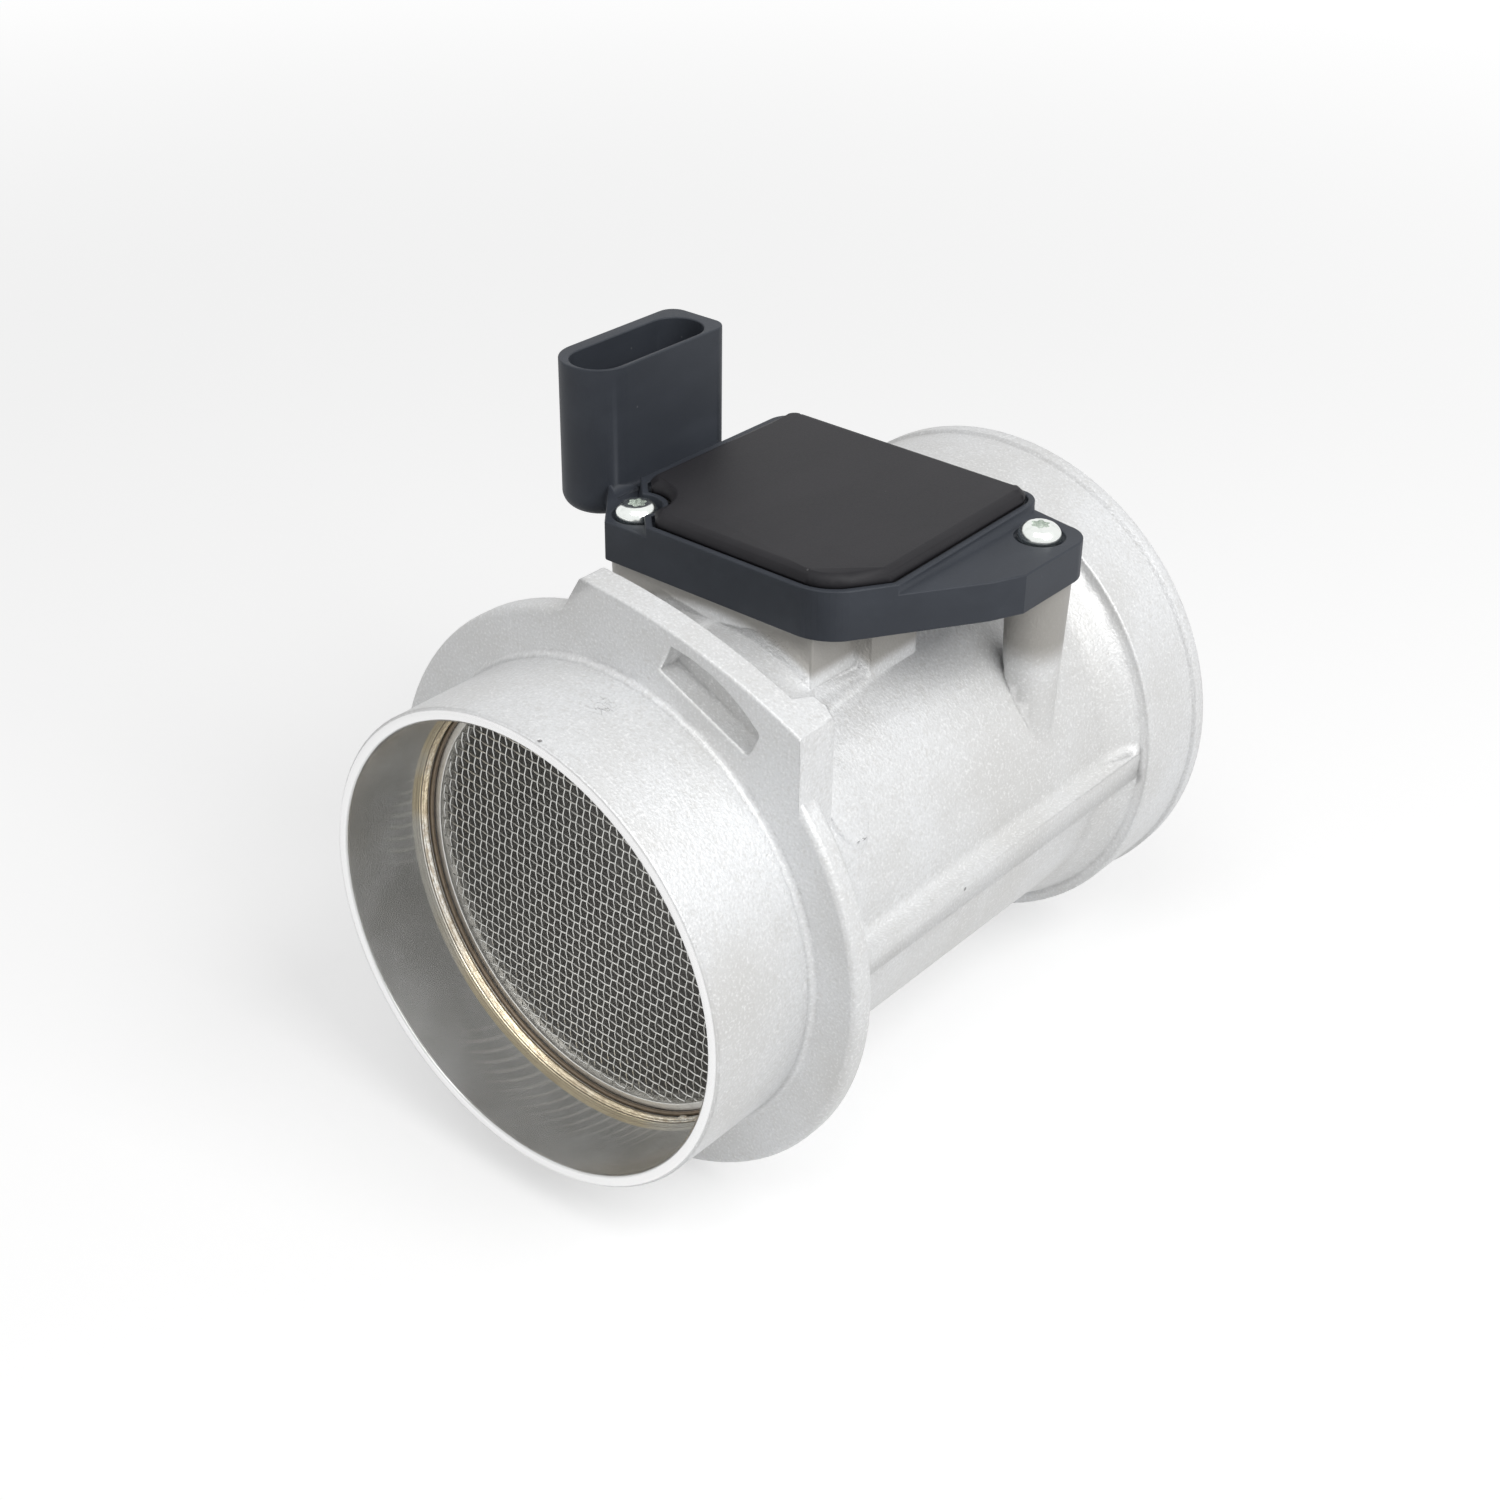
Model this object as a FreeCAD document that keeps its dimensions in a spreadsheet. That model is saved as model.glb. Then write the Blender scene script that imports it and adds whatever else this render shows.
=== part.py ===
import FreeCAD, Part
import math
import os

import Sketcher

# Mass airflow sensor: a cast aluminium tube with a woven screen in its mouth and a plastic
# electronics module screwed on top.
#
# Frame: millimetres. The tube's axis is Y, with the mouth's front face at y = 0 and the air
# flowing towards +Y. The module stands on top, towards +Z, and its socket is at the -X side.

Vector = FreeCAD.Vector

# Driving dimensions: name, value in millimetres or degrees, and what it is.
SIZES = (
    ("neck_bore_radius", 40.0, "inside radius of the inlet neck"),
    ("neck_wall", 2.4, "wall of the inlet neck"),
    ("neck_length", 22.5, "front face to the flange's front face"),
    ("neck_root", 1.2, "chamfer in the corner between neck and flange"),
    ("edge_break", 0.6, "small chamfer on machined and moulded edges"),
    ("flange_radius", 51.0, "outside radius of the round flange"),
    ("flange_thickness", 4.6, "thickness of the round flange"),
    ("flange_edge", 0.8, "rounding of the flange's rim"),
    ("duct_radius", 36.3, "inside radius of the duct behind the screen"),
    ("tube_radius", 41.0, "outside radius of the tube"),
    ("flare_length", 9.0, "length of the cone in front of the rear collar"),
    ("flare_radius", 44.0, "radius of that cone where it meets the collar"),
    ("collar_start", 115.5, "front face to the rear collar's step"),
    ("collar_radius", 46.2, "outside radius of the rear collar"),
    ("collar_bore_radius", 41.8, "inside radius of the rear collar"),
    ("bead_width", 3.0, "length of the hose bead at the rear end"),
    ("bead_height", 0.6, "height of the hose bead"),
    ("overall_length", 133.6, "front face to rear face"),
    ("rib_half_thickness", 2.4, "half the thickness of the parting line ribs"),
    ("rib_reach", 44.0, "distance from the axis to the ribs' outer face"),
    ("key_left", -5.3, "left end of the flange key's top edge"),
    ("key_foot", -9.2, "x where the key's left side meets the flange"),
    ("key_right", 38.7, "right side of the flange key"),
    ("key_left_top", 56.8, "height of the key's top edge at its left end"),
    ("key_right_top", 44.9, "height of the key's top edge at its right end"),
    ("key_top_radius", 120.0, "radius of the key's arched top edge"),
    ("key_thickness", 5.4, "thickness of the key along the tube"),
    ("key_depth", 9.0, "depth of the block behind the key's right end"),
    ("key_block_width", 4.7, "width of the top of that block"),
    ("key_block_slope", 1.2, "width of the slope at the block's left"),
    ("key_block_corner", 1.8, "cut corner at the block's right"),
    ("key_block_cut", 0.8, "depth of that cut corner"),
    ("key_slot_angle", 25.2, "turn of the slot from the vertical, in degrees"),
    ("key_slot_inner", 46.6, "distance from the axis to the slot's lower side"),
    ("key_slot_height", 5.3, "height of the slot at its ends"),
    ("key_slot_arch", 27.0, "radius of the slot's arched upper side"),
    ("key_slot_rounding", 1.0, "rounding of the slot's corners"),
    ("key_slot_half_length", 9.8, "half the length of the slot"),
    ("key_slot_depth", 4.6, "depth of the slot"),
    ("seat_height", 45.0, "height of the module's seat above the axis"),
    ("front_boss_radius", 4.5, "radius of the front screw boss at the seat"),
    ("pedestal_right", 23.4, "right side of the pedestal"),
    ("pedestal_step", 3.0, "how far the front part of that side is set back"),
    ("pedestal_step_y", 59.2, "rear end of that front part"),
    ("pedestal_step_run", 0.9, "length of the step behind it"),
    ("pedestal_rear", 76.5, "rear side of the pedestal behind the spigot"),
    ("pedestal_side_end", 72.6, "rear end of the pedestal's right side"),
    ("pedestal_corner", 4.6, "cut corner of the pedestal"),
    ("screw_front_x", -21.1, "front screw, x"),
    ("screw_front_y", 52.7, "front screw, y"),
    ("screw_rear_x", 34.4, "rear screw, x"),
    ("screw_rear_y", 90.5, "rear screw, y"),
    ("boss_radius", 5.6, "radius of the screw boss at the seat"),
    ("boss_draft", 2.2, "draft of the bosses in degrees"),
    ("boss_drop", 40.0, "height of the rear screw boss"),
    ("boss_offset", 0.8, "rear screw to the middle of its boss, along the tube"),
    ("outlet_cone_length", 16.0, "length over which the duct widens to the collar's bore"),
    ("stub_x", 33.8, "side boss behind the key, x"),
    ("stub_y", 40.2, "side boss behind the key, y"),
    ("stub_radius", 4.7, "radius of the side boss at its top"),
    ("stub_top", 31.5, "height of the side boss's top, before its face is cut back"),
    ("stub_drop", 18.0, "length of the side boss"),
    ("stub_rise", 0.9, "how far the side boss stands out of the tube"),
    ("stub_margin", 2.0, "how far that cut reaches past the side boss"),
    ("thread_radius", 1.7, "tapped hole for the screws"),
    ("thread_depth", 11.0, "depth of the tapped holes"),
    ("spigot_radius", 10.8, "radius of the module's spigot"),
    ("spigot_gap", 0.2, "clearance round the spigot"),
    ("spigot_y", 64.0, "centre of the spigot along the tube"),
    ("spigot_length", 7.4, "length of the spigot below the seat"),
    ("screen_step_start", 15.6, "front face to the bright chamfer before the screen"),
    ("screen_step_length", 1.8, "length of that chamfer"),
    ("screen_step_height", 1.4, "neck's bore down to the bore that the screen sits in"),
    ("screen_fit", 0.1, "clearance round the screen's frame"),
    ("retainer_wire_radius", 0.6, "half the thickness of the retaining ring"),
    ("retainer_corner", 0.35, "cut corners of the retaining ring's section"),
    ("retainer_gap_degrees", 14.0, "opening of the retaining ring"),
    ("retainer_groove", 0.5, "depth of the retaining ring's groove"),
    ("screen_lip", 0.6, "thickness of the frame's lips in front of and behind the screen"),
    ("screen_frame_width", 1.9, "radial width of the screen's frame"),
    ("screen_wire", 0.6, "depth of one layer of screen wires"),
    ("screen_lap", 0.2, "how far the two layers sink into each other"),
    ("screen_pitch", 6.4, "spacing of the screen's ridges"),
    ("screen_ridge", 0.9, "width of one ridge"),
    ("screen_grip", 0.9, "how far the screen reaches into its frame"),
    ("plate_thickness", 7.1, "thickness of the module's base plate"),
    ("housing_front", 46.9, "front side of the module"),
    ("housing_rear", 100.5, "rear side of the module"),
    ("housing_left", -27.9, "left side of the electronics tray"),
    ("housing_right", 29.9, "right side of the electronics tray at its front"),
    ("housing_lean", 1.2, "how far that side leans in towards the rear"),
    ("housing_rounding", 4.4, "rounding of the tray's rear corners"),
    ("corner_start", 17.8, "x where the front right corner begins to turn"),
    ("corner_radius", 9.4, "radius of the front right corner"),
    ("corner_turn", 60.0, "turn of that corner in degrees"),
    ("notch_offset", 1.0, "front screw to the tray's cut corner"),
    ("notch_radius", 4.1, "radius of the notch round the front screw's head"),
    ("ear_bend_x", 38.4, "bend in the ear's front side, x"),
    ("ear_bend_y", 71.2, "bend in the ear's front side, y"),
    ("ear_bend_length", 5.8, "length of the short side behind that bend"),
    ("ear_reach", 6.6, "rear screw to the ear's right side"),
    ("ear_rounding", 5.0, "rounding of the ear's corner"),
    ("foot_corner", -23.2, "x of the plate's front left corner"),
    ("foot_side", 56.3, "y where the plate meets the shroud's right side"),
    ("tray_rim", 1.8, "height of the tray's rim above the plate"),
    ("tray_wall", 1.2, "wall of the tray beside the lid"),
    ("tray_left_wall", 2.3, "wall of the tray at the left of the lid"),
    ("tray_ledge", 1.6, "width of the ledge under the lid"),
    ("ledge_drop", 1.1, "depth of the ledge below the rim"),
    ("tray_floor", 2.0, "thickness of the tray's floor"),
    ("socket_left", -44.9, "left side of the socket's shroud"),
    ("socket_right", -31.2, "right side of the socket's shroud"),
    ("socket_front", 55.0, "front end of the socket's shroud"),
    ("socket_rear", 88.2, "rear end of the socket's shroud"),
    ("socket_rounding", 3.2, "rounding of the shroud's rear corners"),
    ("socket_edge", 3.0, "rounding of the shroud's bottom edge"),
    ("socket_lift", 0.8, "seat to the shroud's underside"),
    ("socket_top", 28.2, "seat to the shroud's top"),
    ("socket_floor", 9.0, "seat to the socket's floor"),
    ("socket_wall", 0.9, "wall of the shroud at its front and right"),
    ("socket_back_wall", 2.7, "wall of the shroud at its left and rear"),
    ("sleeve_radius", 3.2, "outside radius of the compression sleeves"),
    ("sleeve_bore", 2.15, "inside radius of the compression sleeves"),
    ("head_recess_radius", 4.3, "radius of the recess round each screw head"),
    ("head_recess_depth", 0.6, "depth of that recess"),
    ("side_recess_left", -28.2, "left side of the recess beside the front screw"),
    ("side_recess_front", 55.4, "front end of that side"),
    ("side_recess_gap", 0.4, "gap between that recess and the tray"),
    ("stem_half_width", 4.6, "half the width of the probe stem"),
    ("stem_length_along", 19.0, "length of the probe stem along the air flow"),
    ("stem_tip", -11.0, "height of the probe stem's tip"),
    ("channel_left", -2.4, "left wall of the air channel"),
    ("channel_half_height", 7.0, "half the height of the air channel"),
    ("channel_cover_thickness", 1.4, "thickness of the channel's cover"),
    ("channel_cover_lip", 1.5, "how far the cover laps over the channel's edges"),
    ("seal_width", 2.0, "width of the module's square seal"),
    ("seal_play", 0.4, "how much wider than its seal the groove is"),
    ("seal_drop", 2.6, "seat to the seal's centre"),
    ("lid_gap", 0.5, "gap between the tray's wall and the lid"),
    ("lid_rise", 1.9, "height of the lid above the rim"),
    ("lid_bevel", 1.1, "bevel of the lid's top edge"),
    ("lid_wall", 1.6, "wall of the lid round its hollow underside"),
    ("lid_hollow", 1.2, "depth of that hollow"),
    ("bead_thickness", 0.3, "thickness of the adhesive under the lid"),
    ("head_radius", 3.75, "radius of the screw heads"),
    ("head_height", 2.7, "height of the screw heads"),
    ("head_side", 0.9, "height of the straight side of the screw heads"),
    ("head_crown_radius", 3.1, "radius where the heads' flank meets their crown"),
    ("head_crown_height", 2.1, "height of that place above the heads' underside"),
    ("head_top_radius", 2.1, "radius of the flat top of the screw heads"),
    ("shank_radius", 1.65, "radius of the screws' shank"),
    ("shank_length", 15.0, "length of the screws below the head"),
    ("star_radius", 1.75, "outer radius of the star recess"),
    ("star_core", 1.2, "inner radius of the star recess"),
    ("star_depth", 1.6, "depth of the star recess"),
    ("spreader_thickness", 1.2, "thickness of the heat spreader"),
    ("board_thickness", 0.8, "thickness of the circuit board"),
    ("board_left", -18.5, "left edge of the circuit board"),
    ("board_right", 21.8, "right edge of the circuit board"),
    ("board_front", 53.5, "front edge of the circuit board"),
    ("board_rear", 94.0, "rear edge of the circuit board"),
    ("spreader_margin", 1.0, "how far the spreader stands out past the board"),
    ("board_corner", 8.6, "cut corner of the board beside the front screw"),
    ("terminal_pitch", 5.0, "spacing of the terminals"),
    ("terminal_width", 2.2, "width of a terminal blade"),
    ("terminal_thickness", 0.8, "thickness of a terminal blade"),
    ("terminal_height", 12.0, "height of the blades above the socket's floor"),
    ("terminal_leg", 3.4, "seat to the underside of the terminals' inner legs"),
    ("terminal_end", -21.5, "x of the terminals' inner ends"),
    ("terminal_tip", 0.8, "taper at the tip of a terminal blade"),
    ("ribbon_foot", 1.0, "length of a bond ribbon's feet"),
    ("ribbon_reach", 1.6, "how far a bond ribbon reaches onto the board"),
    ("ribbon_bend", 4.2, "radius of a bond ribbon's arch"),
    ("ribbon_width", 0.8, "width of a bond ribbon"),
    ("ribbon_thickness", 0.2, "thickness of a bond ribbon"),
    ("pin_radius", 0.4, "radius of the sensor pins"),
    ("pin_pitch", 3.0, "spacing of the two pins of one element"),
    ("element_spacing", 8.0, "distance between the two elements' centres"),
    ("element_height", 9.0, "height of the film elements"),
    ("element_thickness", 0.5, "thickness of the film elements"),
    ("element_overhang", 0.5, "how far an element reaches past its pins"),
    ("thermistor_radius", 1.3, "radius of the thermistor's bead"),
    ("thermistor_taper", 0.7, "cut ends of the thermistor's bead"),
    ("thermistor_height", 15.0, "height of the thermistor above the axis"),
    ("thermistor_reach", 3.6, "stem to the bead's centre"),
    ("thermistor_leg_radius", 0.3, "radius of the thermistor's legs"),
)

# Parts on the circuit board: name, centre x, centre y, length along x, width along y, height.
BOARD_PARTS = (
    ("control_chip", 12.5, 78.0, 11.0, 11.0, 1.7),
    ("driver_transistor", 14.0, 60.0, 9.0, 6.5, 2.3),
    ("resistor_network", -9.0, 88.0, 10.0, 2.4, 0.9),
    ("capacitor_1", -8.0, 79.5, 3.2, 1.8, 1.5),
    ("capacitor_2", -3.0, 79.5, 3.2, 1.8, 1.5),
    ("capacitor_3", 2.0, 79.5, 3.2, 1.8, 1.5),
)
PART_FIELDS = ("x", "y", "length", "width", "height")

# Places worked out from the driving dimensions. A name in braces is an earlier entry here.
PLACES = {
    "neck_radius": "Dims.neck_bore_radius + Dims.neck_wall",
    "screen_seat": "Dims.neck_bore_radius - Dims.screen_step_height",
    "flange_back": "Dims.neck_length + Dims.flange_thickness",
    "key_back": "Dims.neck_length + Dims.key_depth",
    "key_thin_back": "Dims.neck_length + Dims.key_thickness",
    "pedestal_front": "Dims.screw_front_y - Dims.front_boss_radius",
    "root_height": "Dims.seat_height / 2",
    "spigot_hole": "Dims.spigot_radius + Dims.spigot_gap",
    "step_end": "Dims.screen_step_start + Dims.screen_step_length",
    "screen_depth": "2 * Dims.screen_wire - Dims.screen_lap",
    "retainer_outer": "{screen_seat} + Dims.retainer_groove",
    "retainer_inner": "{retainer_outer} - 2 * Dims.retainer_wire_radius",
    "screen_front": "{step_end} + 2 * Dims.retainer_wire_radius",
    "mesh_front": "{screen_front} + Dims.screen_lip",
    "mesh_back": "{mesh_front} + {screen_depth}",
    "screen_back": "{mesh_back} + Dims.screen_lip",
    "frame_outer": "{screen_seat} - Dims.screen_fit",
    "frame_inner": "{frame_outer} - Dims.screen_frame_width",
    "mesh_radius": "{frame_inner} + Dims.screen_grip",
    "plate_top": "Dims.seat_height + Dims.plate_thickness",
    "rim_top": "{plate_top} + Dims.tray_rim",
    "ledge": "{rim_top} - Dims.ledge_drop",
    "floor": "Dims.seat_height + Dims.tray_floor",
    "turn_x": "Dims.corner_start + Dims.corner_radius * sin(Dims.corner_turn)",
    "turn_y": "Dims.housing_front + Dims.corner_radius * (1 - cos(Dims.corner_turn))",
    "ear_slope": "(Dims.ear_bend_y - {turn_y}) / (Dims.ear_bend_x - {turn_x})",
    "side_start": "{turn_y} + (Dims.housing_right - {turn_x}) * {ear_slope}",
    "side_end": "Dims.housing_right - Dims.housing_lean",
    "ear_right": "Dims.screw_rear_x + Dims.ear_reach",
    "ear_rear": "Dims.screw_rear_y + Dims.ear_reach",
    "cut_corner": "Dims.screw_front_x + Dims.screw_front_y + Dims.notch_offset * sqrt(2)",
    "lid_left": "Dims.housing_left + Dims.tray_left_wall - Dims.tray_wall",
    "notch_mid": "Dims.notch_offset / sqrt(2)",
    "notch_half": "sqrt((Dims.notch_radius ^ 2 - Dims.notch_offset ^ 2) / 2)",
    "lid_inset": "Dims.tray_wall + Dims.lid_gap",
    "lid_bottom": "{ledge} + Dims.bead_thickness",
    "lid_top": "{rim_top} + Dims.lid_rise",
    "head_seat": "{plate_top} - Dims.head_recess_depth",
    "socket_base": "Dims.seat_height + Dims.socket_floor",
    "socket_low": "Dims.seat_height + Dims.socket_lift",
    "socket_high": "Dims.seat_height + Dims.socket_top",
    "socket_half": "(Dims.socket_right - Dims.socket_left) / 2",
    "socket_x": "(Dims.socket_right + Dims.socket_left) / 2",
    "bore_left": "Dims.socket_left + Dims.socket_back_wall",
    "bore_right": "Dims.socket_right - Dims.socket_wall",
    "bore_front": "Dims.socket_front + Dims.socket_wall",
    "bore_rear": "Dims.socket_rear - Dims.socket_back_wall",
    "bore_half": "({bore_right} - {bore_left}) / 2",
    "blade_x": "({bore_right} + {bore_left}) / 2",
    "blade_y": "({bore_front} + {bore_rear}) / 2",
    "board_low": "{floor} + Dims.spreader_thickness",
    "board_top": "{board_low} + Dims.board_thickness",
    "leg_low": "Dims.seat_height + Dims.terminal_leg",
    "leg_top": "{leg_low} + Dims.terminal_thickness",
    "stem_front": "Dims.spigot_y - Dims.stem_length_along / 2",
    "stem_back": "Dims.spigot_y + Dims.stem_length_along / 2",
    "spigot_end": "Dims.seat_height - Dims.spigot_length",
    "pin_top": "{board_top} + Dims.pin_radius",
    "seal_middle": "Dims.seat_height - Dims.seal_drop",
    "seal_low": "{seal_middle} - Dims.seal_width / 2",
    "seal_high": "{seal_middle} + Dims.seal_width / 2",
    "groove_radius": "{spigot_hole} - Dims.seal_width",
    "socket_flat": "Dims.socket_right - Dims.socket_edge",
}


def full(expression):
    """Replace each name in braces with its own expression, in brackets."""
    text = str(expression)
    while "{" in text:
        name = text[text.index("{") + 1:text.index("}")]
        text = text.replace("{" + name + "}", "(" + PLACES[name] + ")")
    return text


def make_sheet(document):
    """The spreadsheet with one row for each driving dimension."""
    table = document.addObject("Spreadsheet::Sheet", "Dims")
    on_board = tuple(
        ("%s_%s" % (part[0], field), size, "%s, %s" % (part[0].replace("_", " "), field))
        for part in BOARD_PARTS for field, size in zip(PART_FIELDS, part[1:]))
    for row, (name, value, meaning) in enumerate(SIZES + on_board, start=1):
        table.set("A%d" % row, name)
        table.set("B%d" % row, repr(value))
        table.set("C%d" % row, meaning)
        table.setAlias("B%d" % row, name)
    document.recompute()
    return table


doc = FreeCAD.newDocument("MassAirflowSensor")
sheet = make_sheet(doc)
nodes = []


def value(expression):
    """The present value of an expression, as a plain number."""
    return float(sheet.evalExpression(full(expression)))


def bind(thing, **expressions):
    """Bind properties of an object to expressions; a double underscore stands for a dot."""
    for key, expression in expressions.items():
        thing.setExpression(key.replace("__", "."), full(expression))


def node(thing, name):
    """Name an object as one finished piece."""
    thing.Label = name
    nodes.append(thing)
    return thing


def body(name):
    """A new body for one piece."""
    return doc.addObject("PartDesign::Body", name)


def origin_feature(owner, role):
    """One of a body's own origin planes or axes."""
    return next(item for item in owner.Origin.OriginFeatures if item.Role == role)


def sketch(owner, name, plane, along="0", sideways="0"):
    """A sketch on an origin plane of the body, moved along the plane's normal and first axis.

    The XZ plane's normal is -Y, so a sketch at a given y has that y with its sign turned.
    """
    item = owner.newObject("Sketcher::SketchObject", name)
    item.AttachmentSupport = (origin_feature(owner, plane), "")
    item.MapMode = "FlatFace"
    item.setExpression(".AttachmentOffset.Base.z", full(along))
    item.setExpression(".AttachmentOffset.Base.x", full(sideways))
    return item


def fix_point(item, geometry, point, x, y):
    """Bind one point of a sketch to two expressions."""
    for kind, expression in (("DistanceX", x), ("DistanceY", y)):
        number = item.addConstraint(Sketcher.Constraint(kind, -1, 1, geometry, point,
                                                        value(expression)))
        item.setExpression("Constraints[%d]" % number, full(expression))


def fix_radius(item, geometry, radius):
    """Bind the radius of a circle or an arc to an expression."""
    number = item.addConstraint(Sketcher.Constraint("Radius", geometry, value(radius)))
    item.setExpression("Constraints[%d]" % number, full(radius))


def arc_between(start, end, radius, turns_left):
    """The short arc from start to end, with its centre on the left or right of the way."""
    chord = end - start
    half = chord.Length / 2
    rise = math.sqrt(max(radius * radius - half * half, 0.0))
    left = Vector(-chord.y, chord.x, 0).normalize()
    centre = (start + end) / 2 + left * (rise if turns_left else -rise)
    first, last = (start, end) if turns_left else (end, start)
    begin = math.atan2(first.y - centre.y, first.x - centre.x)
    finish = math.atan2(last.y - centre.y, last.x - centre.x)
    circle = Part.Circle(centre, Vector(0, 0, 1), radius)
    return Part.ArcOfCircle(circle, begin, finish)


def outline(item, corners):
    """A closed outline of lines and arcs in a sketch, with every corner bound.

    Each corner is (x, y) or (x, y, radius, side): the edge that leaves it is then an arc whose
    centre lies on that side, "left" for a bulge and "right" for a hollow in an outline that
    runs anticlockwise.
    """
    count = len(corners)
    places = [Vector(value(corner[0]), value(corner[1]), 0) for corner in corners]
    ends = []
    for index, corner in enumerate(corners):
        start, end = places[index], places[(index + 1) % count]
        if len(corner) == 2:
            geometry = item.addGeometry(Part.LineSegment(start, end))
            ends.append((geometry, 1, 2))
            continue
        left = corner[3] == "left"
        geometry = item.addGeometry(arc_between(start, end, value(corner[2]), left))
        ends.append((geometry, 1, 2) if left else (geometry, 2, 1))
    for index in range(count):
        this, following = ends[index], ends[(index + 1) % count]
        item.addConstraint(Sketcher.Constraint("Coincident", this[0], this[2],
                                               following[0], following[1]))
    for index, corner in enumerate(corners):
        fix_point(item, ends[index][0], ends[index][1], corner[0], corner[1])
        if len(corner) > 2:
            fix_radius(item, ends[index][0], corner[2])


def box_outline(item, left, right, low, high):
    """A rectangle in a sketch."""
    outline(item, ((left, low), (right, low), (right, high), (left, high)))


def ring(item, x, y, radius):
    """A circle in a sketch."""
    geometry = item.addGeometry(Part.Circle(Vector(value(x), value(y), 0), Vector(0, 0, 1),
                                            value(radius)))
    fix_point(item, geometry, 3, x, y)
    fix_radius(item, geometry, radius)


def pad(owner, name, profile, length, backwards=False, taper="0"):
    """Pad a sketch along its normal, or against it."""
    feature = owner.newObject("PartDesign::Pad", name)
    feature.Profile = profile
    feature.Reversed = backwards
    bind(feature, Length=length, TaperAngle=taper)
    return feature


def pocket(owner, name, profile, length, backwards=False):
    """Cut a sketch against its normal, or along it when backwards is set."""
    feature = owner.newObject("PartDesign::Pocket", name)
    feature.Profile = profile
    feature.Reversed = backwards
    bind(feature, Length=length)
    return feature


def turn(owner, name, profile, axis, cut=False, degrees="360"):
    """Revolve a sketch about one of its own axes, or cut that shape away."""
    kind = "PartDesign::Groove" if cut else "PartDesign::Revolution"
    feature = owner.newObject(kind, name)
    feature.Profile = profile
    feature.ReferenceAxis = (profile, [axis])
    bind(feature, Angle=degrees)
    return feature


def soften(owner, name, base, size, chosen, straight=False):
    """Round the edges of the base feature that the test picks, or bevel them straight."""
    doc.recompute()
    picked = ["Edge%d" % number for number, edge in enumerate(base.Shape.Edges, start=1)
              if chosen(edge)]
    kind = "PartDesign::Chamfer" if straight else "PartDesign::Fillet"
    feature = owner.newObject(kind, name)
    feature.Base = (base, picked)
    feature.setExpression("Size" if straight else "Radius", full(size))
    return feature


def rotated(distance, across, angle):
    """A point at a distance along a radial line and a step across it, turned from vertical."""
    x = "(%s) * sin(%s) + (%s) * cos(%s)" % (distance, angle, across, angle)
    z = "(%s) * cos(%s) - (%s) * sin(%s)" % (distance, angle, across, angle)
    return x, z


def on_circle(radius, height):
    """The distance from the upright axis at which a circle has the given height."""
    return "sqrt((%s) ^ 2 - (%s) ^ 2)" % (radius, height)


def is_flat_at(height):
    """A test for edges that lie in the level plane at the given height."""
    level = value(height)

    def test(edge):
        box = edge.BoundBox
        return abs(box.ZMin - level) < 1e-6 and abs(box.ZMax - level) < 1e-6

    return test


def document_sketch(name, upright_plane=False):
    """A sketch outside any body, level or standing in the XZ plane."""
    item = doc.addObject("Sketcher::SketchObject", name)
    if upright_plane:
        item.Placement = FreeCAD.Placement(Vector(), FreeCAD.Rotation(Vector(1, 0, 0), 90))
    return item


def between(name, profile, low, high, direction=Vector(0, 0, 1)):
    """A solid with the given outline, from one place along a direction to another."""
    feature = doc.addObject("Part::Extrusion", name)
    feature.Base = profile
    feature.DirMode = "Custom"
    feature.Dir = direction
    feature.Solid = True
    bind(feature, LengthFwd=high, LengthRev="-(%s)" % low)
    return feature


def revolved(name, profile):
    """A solid of revolution about the upright axis."""
    feature = doc.addObject("Part::Revolution", name)
    feature.Source = profile
    feature.Axis = Vector(0, 0, 1)
    feature.Solid = True
    return feature


def inset(name, profile, distance):
    """The outline moved inwards by a distance, or outwards when it is negative."""
    feature = doc.addObject("Part::Offset2D", name)
    feature.Source = profile
    feature.Mode = "Pipe"
    feature.Join = "Intersection"
    bind(feature, Value="-(%s)" % distance)
    return feature


def block(name, x, y, z):
    """A box from the low to the high value of each pair."""
    feature = doc.addObject("Part::Box", name)
    sizes = {"x": "Length", "y": "Width", "z": "Height"}
    for axis, (low, high) in zip("xyz", (x, y, z)):
        feature.setExpression("Placement.Base." + axis, full(low))
        feature.setExpression(sizes[axis], full("(%s) - (%s)" % (high, low)))
    return feature


def rod(name, x, y, low, high, radius):
    """An upright cylinder."""
    feature = doc.addObject("Part::Cylinder", name)
    bind(feature, Placement__Base__x=x, Placement__Base__y=y, Placement__Base__z=low,
         Height="(%s) - (%s)" % (high, low), Radius=radius)
    return feature


def joined(name, pieces):
    """One shape from several that touch or overlap."""
    feature = doc.addObject("Part::MultiFuse", name)
    feature.Shapes = pieces
    feature.Refine = True
    return feature


def cut(name, base, tools):
    """The base without the tools."""
    feature = doc.addObject("Part::Cut", name)
    feature.Base = base
    feature.Tool = tools[0] if len(tools) == 1 else joined(name + "Tools", tools)
    feature.Refine = True
    return feature


def racetrack(item, left, right, front, rear, half):
    """A slot outline along Y with a half round end at each side."""
    middle = "(%s) + (%s)" % (left, half)
    low, high = "(%s) + (%s)" % (front, half), "(%s) - (%s)" % (rear, half)
    outline(item, (
        (left, low, half, "left"),
        (middle, front, half, "left"),
        (right, low),
        (right, high, half, "left"),
        (middle, rear, half, "left"),
        (left, high),
    ))


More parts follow.
